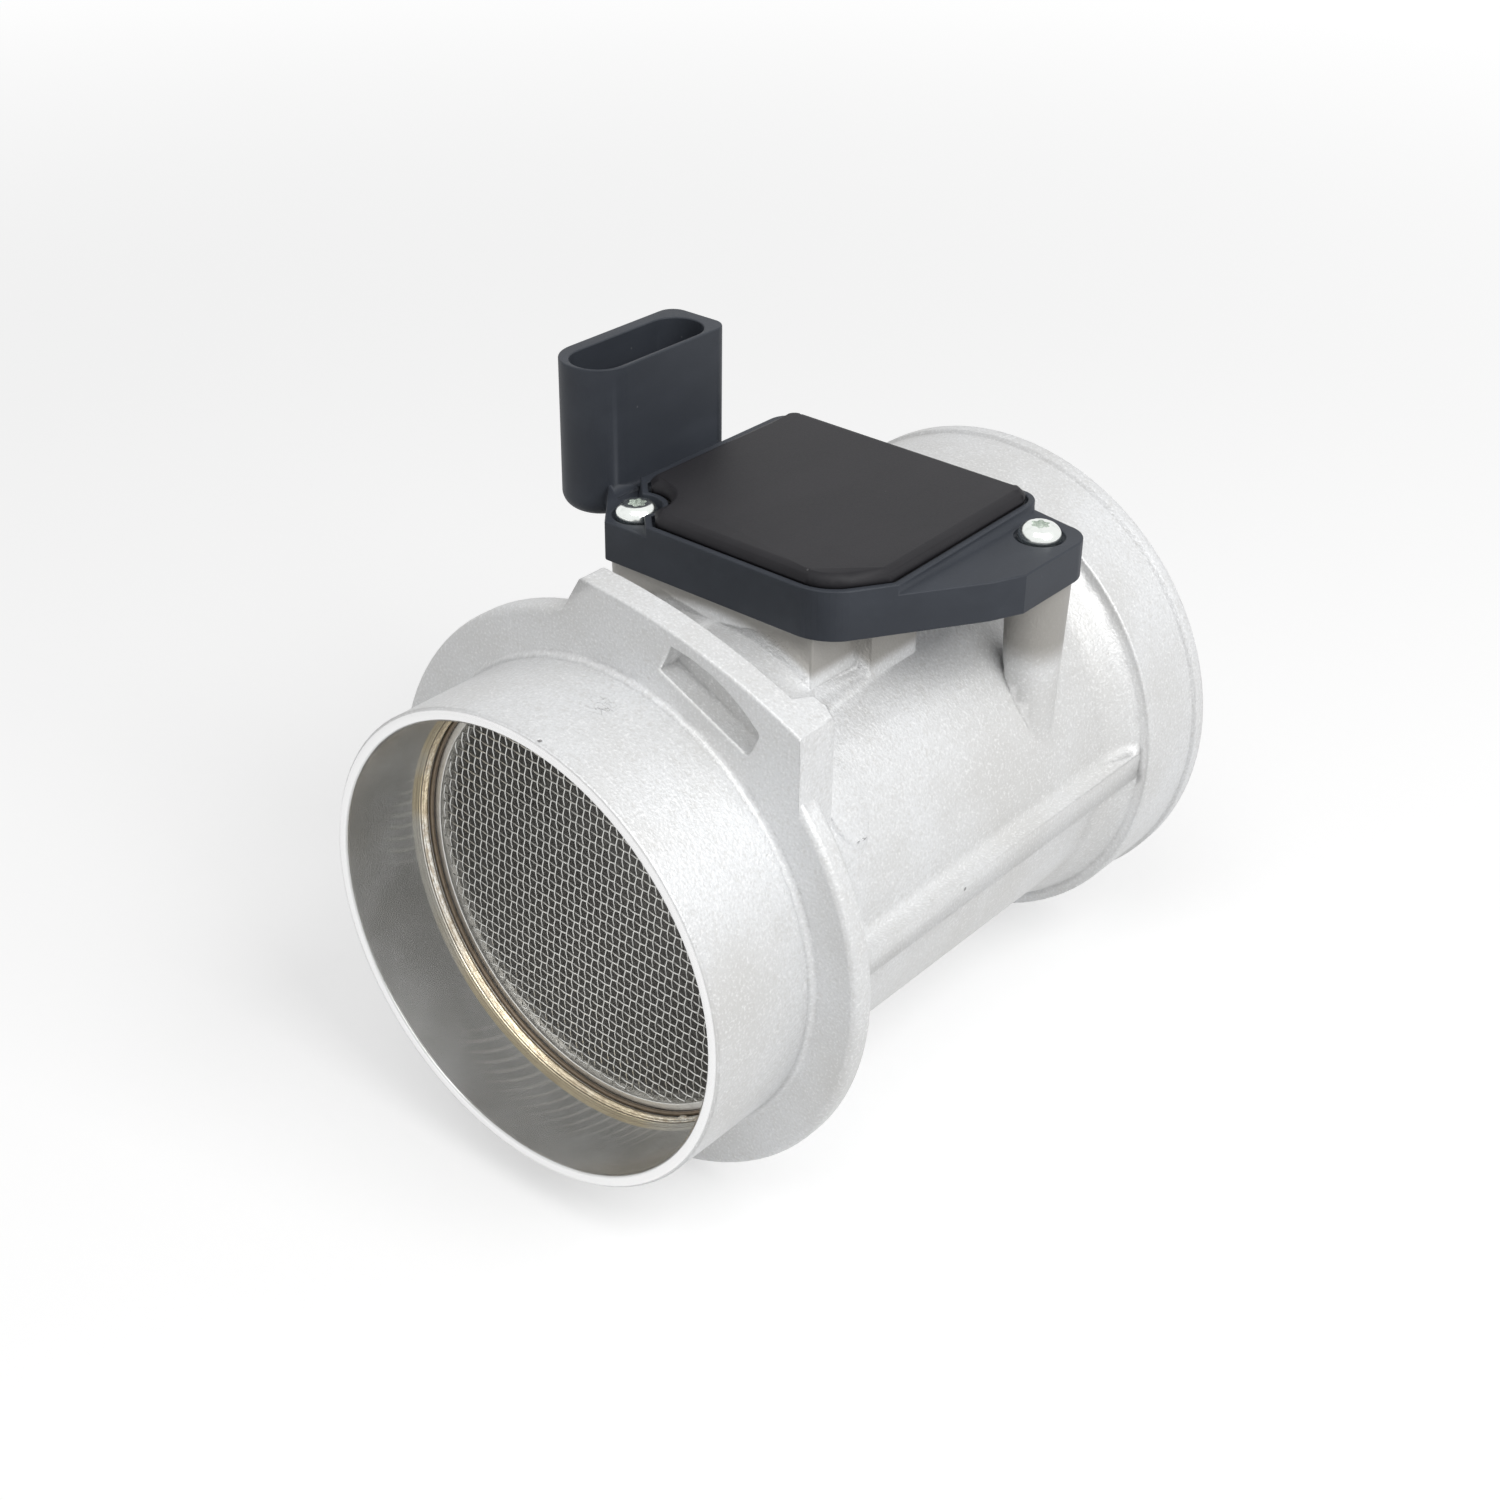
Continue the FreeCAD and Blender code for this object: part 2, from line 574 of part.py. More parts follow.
def make_casting():
    """The tube with its neck, flange, key, pedestal, bosses, ribs and rear collar."""
    casting = body("Casting")

    # The key on the flange is made first, so that trimming its back leaves the tube alone.
    key = sketch(casting, "KeyOutline", "XZ_Plane", along="-Dims.neck_length")
    outline(key, (
        ("0", "0"),
        ("Dims.key_right", "0"),
        ("Dims.key_right", "Dims.key_right_top", "Dims.key_top_radius", "left"),
        ("Dims.key_left", "Dims.key_left_top"),
        ("Dims.key_foot", "sqrt(Dims.flange_radius ^ 2 - Dims.key_foot ^ 2)"),
    ))
    pad(casting, "Key", key, "Dims.key_depth", backwards=True)

    back = sketch(casting, "KeyBack", "XY_Plane", along="Dims.key_left_top + 1")
    outline(back, (
        ("Dims.key_foot - 1", "{key_thin_back}"),
        ("Dims.key_right - Dims.key_block_width - Dims.key_block_slope", "{key_thin_back}"),
        ("Dims.key_right - Dims.key_block_width", "{key_back}"),
        ("Dims.key_right - Dims.key_block_corner", "{key_back}"),
        ("Dims.key_right", "{key_back} - Dims.key_block_cut"),
        ("Dims.key_right + 1", "{key_back} - Dims.key_block_cut"),
        ("Dims.key_right + 1", "{key_back} + 1"),
        ("Dims.key_foot - 1", "{key_back} + 1"),
    ))
    pocket(casting, "KeyRelief", back, "Dims.key_left_top + 1")

    wall = sketch(casting, "WallProfile", "YZ_Plane")
    outline(wall, (
        ("0", "0"),
        ("Dims.overall_length", "0"),
        ("Dims.overall_length", "Dims.collar_radius"),
        ("Dims.overall_length - Dims.edge_break", "Dims.collar_radius + Dims.bead_height"),
        ("Dims.overall_length - Dims.bead_width", "Dims.collar_radius + Dims.bead_height"),
        ("Dims.overall_length - Dims.bead_width - Dims.bead_height", "Dims.collar_radius"),
        ("Dims.collar_start", "Dims.collar_radius"),
        ("Dims.collar_start", "Dims.flare_radius"),
        ("Dims.collar_start - Dims.flare_length", "Dims.tube_radius"),
        ("{flange_back}", "Dims.tube_radius"),
        ("{flange_back}", "Dims.flange_radius - Dims.flange_edge"),
        ("{flange_back} - Dims.flange_edge", "Dims.flange_radius"),
        ("Dims.neck_length + Dims.flange_edge", "Dims.flange_radius"),
        ("Dims.neck_length", "Dims.flange_radius - Dims.flange_edge"),
        ("Dims.neck_length", "{neck_radius} + Dims.neck_root"),
        ("Dims.neck_length - Dims.neck_root", "{neck_radius}"),
        ("Dims.edge_break", "{neck_radius}"),
        ("0", "{neck_radius} - Dims.edge_break"),
    ))
    turn(casting, "Wall", wall, "H_Axis")

    ribs = sketch(casting, "RibOutline", "XZ_Plane", along="-Dims.neck_length")
    box_outline(ribs, "-Dims.rib_reach", "Dims.rib_reach",
                "-Dims.rib_half_thickness", "Dims.rib_half_thickness")
    pad(casting, "Ribs", ribs, "Dims.collar_start - Dims.neck_length", backwards=True)

    seat = sketch(casting, "PedestalOutline", "XY_Plane", along="Dims.seat_height")
    outline(seat, (
        ("Dims.screw_front_x", "{pedestal_front}"),
        ("Dims.pedestal_right - Dims.pedestal_step", "{pedestal_front}"),
        ("Dims.pedestal_right - Dims.pedestal_step", "Dims.pedestal_step_y"),
        ("Dims.pedestal_right", "Dims.pedestal_step_y + Dims.pedestal_step_run"),
        ("Dims.pedestal_right", "Dims.pedestal_side_end"),
        ("Dims.pedestal_right - Dims.pedestal_corner", "Dims.pedestal_rear"),
        ("Dims.screw_front_x", "Dims.pedestal_rear"),
    ))
    pad(casting, "Pedestal", seat, "Dims.seat_height - {root_height}", backwards=True)

    for name, drop in (("front", "Dims.seat_height - {root_height}"), ("rear", "Dims.boss_drop")):
        boss = sketch(casting, name.capitalize() + "BossOutline", "XY_Plane",
                      along="Dims.seat_height")
        radius, shift = (("Dims.front_boss_radius", "0") if name == "front"
                         else ("Dims.boss_radius", "Dims.boss_offset"))
        ring(boss, "Dims.screw_%s_x" % name, "Dims.screw_%s_y + %s" % (name, shift), radius)
        pad(casting, name.capitalize() + "Boss", boss, drop, backwards=True,
            taper="-Dims.boss_draft")

    stub = sketch(casting, "StubOutline", "XY_Plane", along="Dims.stub_top")
    ring(stub, "Dims.stub_x", "Dims.stub_y", "Dims.stub_radius")
    pad(casting, "Stub", stub, "Dims.stub_drop", backwards=True, taper="-Dims.boss_draft")

    # The side boss's face follows the tube, a little outside it.
    face = sketch(casting, "StubFace", "XZ_Plane",
                  along="-(Dims.stub_y - Dims.stub_radius - Dims.stub_margin)")
    radius = "Dims.tube_radius + Dims.stub_rise"
    low, high = "Dims.stub_top - Dims.stub_drop - Dims.stub_margin", "Dims.stub_top + 1"
    outer = "Dims.stub_x + Dims.stub_radius + Dims.stub_margin"
    outline(face, (
        (on_circle(radius, low), low),
        (outer + " + Dims.stub_margin", low),
        (outer + " + Dims.stub_margin", high),
        (on_circle(radius, high), high, radius, "right"),
    ))
    pocket(casting, "StubTrim", face, "2 * (Dims.stub_radius + Dims.stub_margin)")

    # The slot's long side is square to the radius that its angle gives.
    angle = "Dims.key_slot_angle"
    slot = sketch(casting, "KeySlotOutline", "XZ_Plane", along="-Dims.neck_length")
    outer = "Dims.key_slot_inner + Dims.key_slot_height"
    side = "Dims.key_slot_half_length"
    corner = "Dims.key_slot_rounding"
    arc = (corner, "left")
    outline(slot, (
        rotated("Dims.key_slot_inner", "-(%s)" % side, angle),
        rotated("Dims.key_slot_inner", side + " - " + corner, angle) + arc,
        rotated("Dims.key_slot_inner + " + corner, side, angle),
        rotated(outer + " - " + corner, side, angle) + arc,
        rotated(outer, side + " - " + corner, angle) + ("Dims.key_slot_arch", "left"),
        rotated(outer, "-(%s)" % side, angle),
    ))
    pocket(casting, "KeySlot", slot, "Dims.key_slot_depth")

    bore = sketch(casting, "BoreProfile", "YZ_Plane")
    outline(bore, (
        ("-1", "0"),
        ("Dims.overall_length + 1", "0"),
        ("Dims.overall_length + 1", "Dims.collar_bore_radius"),
        ("Dims.collar_start", "Dims.collar_bore_radius"),
        ("Dims.collar_start - Dims.outlet_cone_length", "Dims.duct_radius"),
        ("{screen_back}", "Dims.duct_radius"),
        ("{screen_back}", "{screen_seat}"),
        ("{screen_front}", "{screen_seat}"),
        ("{screen_front}", "{retainer_outer}"),
        ("{step_end}", "{retainer_outer}"),
        ("{step_end}", "{screen_seat}"),
        ("Dims.screen_step_start", "Dims.neck_bore_radius"),
        ("Dims.edge_break", "Dims.neck_bore_radius"),
        ("0", "Dims.neck_bore_radius + Dims.edge_break"),
        ("-1", "Dims.neck_bore_radius + Dims.edge_break"),
    ))
    turn(casting, "Bore", bore, "H_Axis", cut=True)

    spigot = sketch(casting, "SpigotHoleOutline", "XY_Plane", along="Dims.seat_height")
    ring(spigot, "0", "Dims.spigot_y", "{spigot_hole}")
    pocket(casting, "SpigotHole", spigot, "Dims.seat_height - {root_height}")

    threads = sketch(casting, "ThreadOutline", "XY_Plane", along="Dims.seat_height")
    for name in ("front", "rear"):
        ring(threads, "Dims.screw_%s_x" % name, "Dims.screw_%s_y" % name, "Dims.thread_radius")
    last = pocket(casting, "TappedHoles", threads, "Dims.thread_depth")
    node(casting, "body_casting")
    return casting, last


def make_screen():
    """The screen, its folded rim and the wire ring that holds the rim in its seat."""
    mesh = body("Screen")
    count = 2 * int(value("{mesh_radius} / Dims.screen_pitch + 0.5"))
    reach = "{mesh_radius} + 2"
    first = "-Dims.screen_pitch * %s" % ((count - 1) / 2)
    half = "Dims.screen_ridge / 2"
    layers = (("Upright", "{mesh_front}", "X_Axis"),
              ("Level", "{mesh_front} + Dims.screen_wire - Dims.screen_lap", "Z_Axis"))
    for name, front, axis in layers:
        ridge = sketch(mesh, name + "Outline", "XZ_Plane", along="-(%s)" % front)
        low, high = first + " - " + half, first + " + " + half
        if axis == "X_Axis":
            box_outline(ridge, low, high, "-(%s)" % reach, reach)
        else:
            box_outline(ridge, "-(%s)" % reach, reach, low, high)
        one = pad(mesh, name + "Wire", ridge, "Dims.screen_wire", backwards=True)
        doc.recompute()
        many = mesh.newObject("PartDesign::LinearPattern", name + "Wires")
        many.Originals = [one]
        many.Direction = (origin_feature(mesh, axis), [""])
        bind(many, Length="Dims.screen_pitch * %d" % (count - 1))
        many.Occurrences = count
        mesh.Tip = many
    trim = sketch(mesh, "TrimOutline", "XZ_Plane", along="-{mesh_front}")
    ring(trim, "0", "0", "{mesh_radius}")
    ring(trim, "0", "0", "2 * {mesh_radius}")
    pocket(mesh, "Trim", trim, "{screen_depth}")
    node(mesh, "inlet_screen")

    rim = body("ScreenFrame")
    section = sketch(rim, "RimProfile", "YZ_Plane")
    outline(section, (
        ("{screen_front}", "{frame_inner}"),
        ("{mesh_front}", "{frame_inner}"),
        ("{mesh_front}", "{mesh_radius}"),
        ("{mesh_back}", "{mesh_radius}"),
        ("{mesh_back}", "{frame_inner}"),
        ("{screen_back}", "{frame_inner}"),
        ("{screen_back}", "{frame_outer}"),
        ("{screen_front}", "{frame_outer}"),
    ))
    turn(rim, "Rim", section, "H_Axis")
    node(rim, "screen_frame")

    wire = body("RetainingRing")
    section = sketch(wire, "WireProfile", "YZ_Plane")
    corner = " Dims.retainer_corner"
    inner, outer = "{retainer_inner}", "{retainer_outer}"
    outline(section, (
        ("{step_end} +" + corner, inner),
        ("{screen_front} -" + corner, inner),
        ("{screen_front}", inner + " +" + corner),
        ("{screen_front}", outer),
        ("{step_end}", outer),
        ("{step_end}", inner + " +" + corner),
    ))
    turn(wire, "Wire", section, "H_Axis", degrees="360 - Dims.retainer_gap_degrees")
    node(wire, "screen_retaining_ring")


def tray_outline(name, left):
    """The outline of the electronics tray, with its notch round the front screw's head."""
    item = document_sketch(name)
    x, y = "Dims.screw_front_x", "Dims.screw_front_y"
    outline(item, (
        ("{cut_corner} - Dims.housing_front", "Dims.housing_front"),
        ("Dims.corner_start", "Dims.housing_front", "Dims.corner_radius", "left"),
        ("{turn_x}", "{turn_y}"),
        ("Dims.housing_right", "{side_start}"),
        ("{side_end}", "Dims.housing_rear - Dims.housing_rounding", "Dims.housing_rounding",
         "left"),
        ("{side_end} - Dims.housing_rounding", "Dims.housing_rear"),
        (left + " + Dims.housing_rounding", "Dims.housing_rear", "Dims.housing_rounding",
         "left"),
        (left, "Dims.housing_rear - Dims.housing_rounding"),
        (left, "{cut_corner} - " + left),
        (x + " + {notch_mid} - {notch_half}", y + " + {notch_mid} + {notch_half}",
         "Dims.notch_radius", "right"),
        (x + " + {notch_mid} + {notch_half}", y + " + {notch_mid} - {notch_half}"),
    ))
    return item


def plate_outline():
    """The outline of the base plate with its two screw ears."""
    item = document_sketch("PlateOutline")
    lean = "(Dims.foot_side - Dims.housing_front) / (Dims.foot_corner - Dims.socket_right)"
    outline(item, (
        ("Dims.foot_corner", "Dims.housing_front"),
        ("Dims.corner_start", "Dims.housing_front", "Dims.corner_radius", "left"),
        ("{turn_x}", "{turn_y}"),
        ("Dims.ear_bend_x", "Dims.ear_bend_y"),
        ("{ear_right}", "Dims.ear_bend_y + Dims.ear_bend_length"),
        ("{ear_right}", "{ear_rear} - Dims.ear_rounding", "Dims.ear_rounding", "left"),
        ("{ear_right} - Dims.ear_rounding", "{ear_rear}"),
        ("{side_end} - Dims.housing_rounding", "Dims.housing_rear - Dims.tray_wall"),
        ("Dims.housing_left + Dims.tray_wall", "Dims.socket_rear - Dims.socket_rounding"),
        ("{socket_flat}", "Dims.socket_rear - Dims.socket_rounding"),
        ("{socket_flat}", "Dims.housing_front + (Dims.foot_corner - {socket_flat}) * " + lean),
    ))
    return item


def make_shroud():
    """The connector's shroud, with a half round front end and a rounded underside."""
    shroud = body("Shroud")
    shell = sketch(shroud, "ShroudOutline", "XY_Plane", along="{socket_low}")
    corner = "Dims.socket_rounding"
    outline(shell, (
        ("Dims.socket_left", "Dims.socket_front + {socket_half}", "{socket_half}", "left"),
        ("{socket_x}", "Dims.socket_front", "{socket_half}", "left"),
        ("Dims.socket_right", "Dims.socket_front + {socket_half}"),
        ("Dims.socket_right", "Dims.socket_rear - " + corner, corner, "left"),
        ("Dims.socket_right - " + corner, "Dims.socket_rear"),
        ("Dims.socket_left + " + corner, "Dims.socket_rear", corner, "left"),
        ("Dims.socket_left", "Dims.socket_rear - " + corner),
    ))
    shell_pad = pad(shroud, "Shell", shell, "{socket_high} - {socket_low}")
    soften(shroud, "Underside", shell_pad, "Dims.socket_edge", is_flat_at("{socket_low}"))
    return shroud


def make_spigot():
    """The round spigot below the base plate, with the groove for its seal."""
    profile = document_sketch("SpigotProfile", upright_plane=True)
    low, high = "{seal_low} - Dims.seal_play / 2", "{seal_high} + Dims.seal_play / 2"
    outline(profile, (
        ("0", "{spigot_end}"),
        ("Dims.spigot_radius - Dims.edge_break", "{spigot_end}"),
        ("Dims.spigot_radius", "{spigot_end} + Dims.edge_break"),
        ("Dims.spigot_radius", low),
        ("{groove_radius}", low),
        ("{groove_radius}", high),
        ("Dims.spigot_radius", high),
        ("Dims.spigot_radius", "{floor}"),
        ("0", "{floor}"),
    ))
    spigot = revolved("Spigot", profile)
    bind(spigot, Placement__Base__y="Dims.spigot_y")
    return spigot


def make_terminal(number, y):
    """A connector blade that stands in the socket and runs under its wall to the tray."""
    blade = body("Terminal%d" % number)
    half = "Dims.terminal_thickness / 2"
    tip = "{socket_base} + Dims.terminal_height"
    shape = sketch(blade, "TerminalProfile", "XZ_Plane",
                   along="-(%s - Dims.terminal_width / 2)" % y)
    outline(shape, (
        ("{blade_x} - " + half, "{leg_low}"),
        ("Dims.terminal_end", "{leg_low}"),
        ("Dims.terminal_end", "{leg_top}"),
        ("{blade_x} + " + half, "{leg_top}"),
        ("{blade_x} + " + half, tip + " - Dims.terminal_tip"),
        ("{blade_x} + " + half + " / 2", tip),
        ("{blade_x} - " + half + " / 2", tip),
        ("{blade_x} - " + half, tip + " - Dims.terminal_tip"),
    ))
    pad(blade, "Blade", shape, "Dims.terminal_width", backwards=True)
    return node(blade, "terminal_%d" % number)


def make_ribbon(number, y):
    """A bond ribbon that arches from a terminal's leg to the board."""
    ribbon = body("Ribbon%d" % number)
    shape = sketch(ribbon, "RibbonProfile", "XZ_Plane",
                   along="-(%s - Dims.ribbon_width / 2)" % y)
    thick = "Dims.ribbon_thickness"
    start = "Dims.terminal_end - Dims.ribbon_foot - Dims.edge_break"
    lift = "Dims.terminal_end - Dims.edge_break"
    land = "Dims.board_left + Dims.ribbon_reach"
    outline(shape, (
        (start, "{leg_top}"),
        (lift, "{leg_top}", "Dims.ribbon_bend", "right"),
        (land, "{board_top}"),
        (land + " + Dims.ribbon_foot", "{board_top}"),
        (land + " + Dims.ribbon_foot", "{board_top} + " + thick),
        (land, "{board_top} + " + thick, "Dims.ribbon_bend", "left"),
        (lift, "{leg_top} + " + thick),
        (start, "{leg_top} + " + thick),
    ))
    pad(ribbon, "Ribbon", shape, "Dims.ribbon_width", backwards=True)
    return node(ribbon, "terminal_ribbon_%d" % number)


def make_element(name, y):
    """A film element: a thin ceramic plate that two pins carry in the air channel."""
    reach = "(Dims.pin_pitch / 2 + Dims.pin_radius + Dims.element_overhang)"
    plate = block(name, ("Dims.pin_radius", "Dims.pin_radius + Dims.element_thickness"),
                  (y + " - " + reach, y + " + " + reach),
                  ("-Dims.element_height / 2", "Dims.element_height / 2"))
    return node(plate, name)


def make_elements():
    """The two film elements, their four pins and the air thermistor."""
    pins = []
    places = (("hot_film_element", "(Dims.spigot_y - Dims.element_spacing / 2)"),
              ("cold_film_element", "(Dims.spigot_y + Dims.element_spacing / 2)"))
    for name, y in places:
        make_element(name, y)
        for sign in ("-", "+"):
            pin = rod("Pin%d" % len(pins), "0", y + sign + "Dims.pin_pitch / 2",
                      "-Dims.element_height / 2", "{pin_top}", "Dims.pin_radius")
            pins.append(node(pin, "element_pin_%d" % (len(pins) + 1)))
    return pins


def make_thermistor():
    """The intake air thermistor: a bead on two legs beside the probe stem."""
    profile = document_sketch("BeadProfile", upright_plane=True)
    low = "Dims.thermistor_height - Dims.thermistor_radius"
    high = "Dims.thermistor_height + Dims.thermistor_radius"
    end = "Dims.thermistor_radius - Dims.thermistor_taper"
    outline(profile, (
        ("0", low),
        (end, low),
        ("Dims.thermistor_radius", low + " + Dims.thermistor_taper"),
        ("Dims.thermistor_radius", high + " - Dims.thermistor_taper"),
        (end, high),
        ("0", high),
    ))
    x = "-(Dims.stem_half_width + Dims.thermistor_reach)"
    bead = revolved("Bead", profile)
    bind(bead, Placement__Base__x=x, Placement__Base__y="Dims.spigot_y")
    pieces = [bead]
    for sign in ("-", "+"):
        y = "Dims.spigot_y " + sign + " Dims.thermistor_radius / 2"
        pieces.append(rod("Leg", x, y, "Dims.thermistor_height", "{pin_top}",
                          "Dims.thermistor_leg_radius"))
    return node(joined("Thermistor", pieces), "air_thermistor")


def make_housing(terminals, pins):
    """The moulded housing: plate, tray, shroud, spigot and probe stem in one piece."""
    tray = tray_outline("TrayOutline", "Dims.housing_left")
    lid_region = tray_outline("LidRegion", "{lid_left}")
    side = ("-Dims.stem_half_width", "Dims.stem_half_width")
    along = ("{stem_front}", "{stem_back}")
    solids = [
        between("Plate", plate_outline(), "Dims.seat_height", "{plate_top}"),
        between("Tray", tray, "Dims.seat_height", "{rim_top}"),
        make_shroud(),
        make_spigot(),
        block("Stem", side, along, ("Dims.stem_tip", "{spigot_end} + Dims.edge_break")),
    ]
    lid_seat = inset("LidSeatOutline", lid_region, "Dims.tray_wall")
    hollow = inset("HollowOutline", lid_region, "Dims.tray_wall + Dims.tray_ledge")
    socket = document_sketch("SocketOutline")
    racetrack(socket, "{bore_left}", "{bore_right}", "{bore_front}", "{bore_rear}",
              "{bore_half}")
    beside = document_sketch("SideRecessOutline")
    inside = "Dims.head_recess_radius / 2"
    outline(beside, (
        ("Dims.side_recess_left", "Dims.side_recess_front"),
        ("Dims.screw_front_x - " + inside, "Dims.screw_front_y"),
        ("Dims.screw_front_x - " + inside, "Dims.screw_front_y + " + inside),
        ("Dims.side_recess_left",
         "{cut_corner} - Dims.side_recess_left - Dims.side_recess_gap"),
    ))
    past = ("{stem_front} - 1", "{stem_back} + 1")
    cover_left = "Dims.stem_half_width - Dims.channel_cover_thickness"
    lip = "(Dims.channel_half_height + Dims.channel_cover_lip)"
    voids = [
        between("LidSeat", lid_seat, "{ledge}", "{rim_top} + 1"),
        between("Hollow", hollow, "{floor}", "{rim_top} + 1"),
        between("Socket", socket, "{socket_base}", "{socket_high} + 1"),
        between("SideRecess", beside, "{head_seat}", "{rim_top} + 1"),
        block("Channel", ("Dims.channel_left", "Dims.stem_half_width + 1"), past,
              ("-Dims.channel_half_height", "Dims.channel_half_height")),
        block("CoverSeat", (cover_left, "Dims.stem_half_width + 1"), past,
              ("-" + lip, lip)),
    ]
    for name in ("front", "rear"):
        x, y = "Dims.screw_%s_x" % name, "Dims.screw_%s_y" % name
        voids.append(rod("SleeveHole", x, y, "Dims.seat_height - 1", "{plate_top} + 1",
                         "Dims.sleeve_radius"))
        voids.append(rod("HeadRecess", x, y, "{head_seat}", "{rim_top} + 1",
                         "Dims.head_recess_radius"))
    housing = cut("Housing", joined("HousingSolids", solids), voids + terminals + pins)
    node(housing, "module_housing")

    cover = block("ChannelCover", (cover_left, "Dims.stem_half_width"), along, ("-" + lip, lip))
    node(cover, "channel_cover")
    return lid_region


def make_lid(region):
    """The lid and the adhesive bead that it sits on."""
    top = between("LidSolid", inset("LidOutline", region, "{lid_inset}"),
                  "{lid_bottom}", "{lid_top}")
    underside = inset("LidHollowOutline", region, "{lid_inset} + Dims.lid_wall")
    shell = cut("LidShell", top, [between("LidHollow", underside, "{lid_bottom} - 1",
                                          "{lid_bottom} + Dims.lid_hollow")])
    lid = body("Lid")
    doc.recompute()
    lid.BaseFeature = shell
    doc.recompute()
    soften(lid, "LidEdge", lid.Group[0], "Dims.lid_bevel", is_flat_at("{lid_top}"),
           straight=True)
    node(lid, "module_cover")

    outer = between("BeadOuter", inset("BeadOutline", region, "{lid_inset}"), "{ledge}",
                    "{lid_bottom}")
    hole = inset("BeadHoleOutline", region, "Dims.tray_wall + Dims.tray_ledge")
    inner = between("BeadHole", hole, "{ledge} - 1", "{lid_bottom} + 1")
    node(cut("Bead", outer, [inner]), "cover_adhesive")


def make_screw(name):
    """A pan head screw with a star recess, and the sleeve that takes its clamping force."""
    x, y = "Dims.screw_%s_x" % name, "Dims.screw_%s_y" % name
    screw = body("Screw" + name.capitalize())
    shape = sketch(screw, "ScrewProfile", "XZ_Plane")
    outline(shape, (
        ("0", "-Dims.shank_length"),
        ("Dims.shank_radius - Dims.edge_break", "-Dims.shank_length"),
        ("Dims.shank_radius", "-Dims.shank_length + Dims.edge_break"),
        ("Dims.shank_radius", "0"),
        ("Dims.head_radius", "0"),
        ("Dims.head_radius", "Dims.head_side"),
        ("Dims.head_crown_radius", "Dims.head_crown_height"),
        ("Dims.head_top_radius", "Dims.head_height"),
        ("0", "Dims.head_height"),
    ))
    turn(screw, "Turned", shape, "V_Axis")
    star = sketch(screw, "StarOutline", "XY_Plane", along="Dims.head_height")
    points = []
    for index in range(12):
        reach = "Dims.star_radius" if index % 2 == 0 else "Dims.star_core"
        turned = 30 * index
        points.append(("%s * cos(%d)" % (reach, turned), "%s * sin(%d)" % (reach, turned)))
    outline(star, points)
    pocket(screw, "Star", star, "Dims.star_depth")
    bind(screw, Placement__Base__x=x, Placement__Base__y=y, Placement__Base__z="{head_seat}")
    node(screw, "housing_screw_" + name)

    tube = rod("SleeveOuter", x, y, "Dims.seat_height", "{head_seat}", "Dims.sleeve_radius")
    hole = rod("SleeveBore", x, y, "Dims.seat_height - 1", "{head_seat} + 1", "Dims.sleeve_bore")
    node(cut("Sleeve" + name.capitalize(), tube, [hole]), "compression_sleeve_" + name)


def make_seal():
    """The ring seal between the spigot and its hole."""
    at = ("0", "Dims.spigot_y")
    outer = rod("SealOuter", *at, "{seal_low}", "{seal_high}", "{spigot_hole}")
    inner = rod("SealInner", *at, "{seal_low} - 1", "{seal_high} + 1", "{groove_radius}")
    seal = cut("Seal", outer, [inner])
    node(seal, "module_seal")


def make_electronics(through):
    """The heat spreader, the board and the parts on it; pins and legs pass through."""
    corner = "Dims.board_corner"
    shape = document_sketch("BoardOutline")
    outline(shape, (
        ("Dims.board_left + " + corner, "Dims.board_front"),
        ("Dims.board_right", "Dims.board_front"),
        ("Dims.board_right", "Dims.board_rear"),
        ("Dims.board_left", "Dims.board_rear"),
        ("Dims.board_left", "Dims.board_front + " + corner),
    ))
    board = between("BoardPlate", shape, "{board_low}", "{board_top}")
    node(cut("Board", board, through), "circuit_board")

    larger = inset("SpreaderOutline", shape, "-Dims.spreader_margin")
    plate = between("SpreaderPlate", larger, "{floor}", "{board_low}")
    margin = "Dims.spreader_margin"
    window = block(
        "SpreaderWindow",
        ("-(Dims.stem_half_width + Dims.thermistor_reach) - " + margin, margin),
        ("{stem_front}", "{stem_back}"),
        ("{floor} - 1", "{board_low} + 1"),
    )
    node(cut("Spreader", plate, [window]), "heat_spreader")

    for name, *_ in BOARD_PARTS:
        case = body(name)
        foot = sketch(case, "CaseOutline", "XY_Plane", along="{board_top}")
        sides = []
        for middle, size in (("x", "length"), ("y", "width")):
            for sign in ("-", "+"):
                sides.append("Dims.%s_%s %s Dims.%s_%s / 2" % (name, middle, sign, name, size))
        box_outline(foot, *sides)
        pad(case, "Case", foot, "Dims.%s_height" % name, taper="-3")
        node(case, name)


make_casting()
make_screen()
terminals = []
for position in range(5):
    height = "({blade_y} + %s * Dims.terminal_pitch)" % (position - 2)
    terminals.append(make_terminal(position + 1, height))
    make_ribbon(position + 1, height)
pins = make_elements() + [make_thermistor()]
lid_region = make_housing(terminals, pins)
make_lid(lid_region)
for name in ("front", "rear"):
    make_screw(name)
make_seal()
make_electronics(pins)
doc.recompute()

for item in doc.Objects:
    if "Invalid" in item.State or "Error" in item.State:
        raise RuntimeError("failed: %s %s" % (item.Name, item.State))
os.makedirs("parts", exist_ok=True)
for item in nodes:
    shape = item.Shape
    if shape.isNull() or not shape.isValid():
        raise RuntimeError("bad shape: " + item.Label)
    shape.exportStep("parts/%s.step" % item.Label)
    print("%-28s solids %d volume %.1f faces %d" % (item.Label, len(shape.Solids),
                                                   shape.Volume, len(shape.Faces)))
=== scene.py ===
"""A mass airflow sensor, dressed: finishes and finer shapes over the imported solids."""

import logging
import math
from dataclasses import dataclass, field
from enum import Enum
from typing import Sequence

import bmesh
import bpy
from mathutils import Matrix, Vector


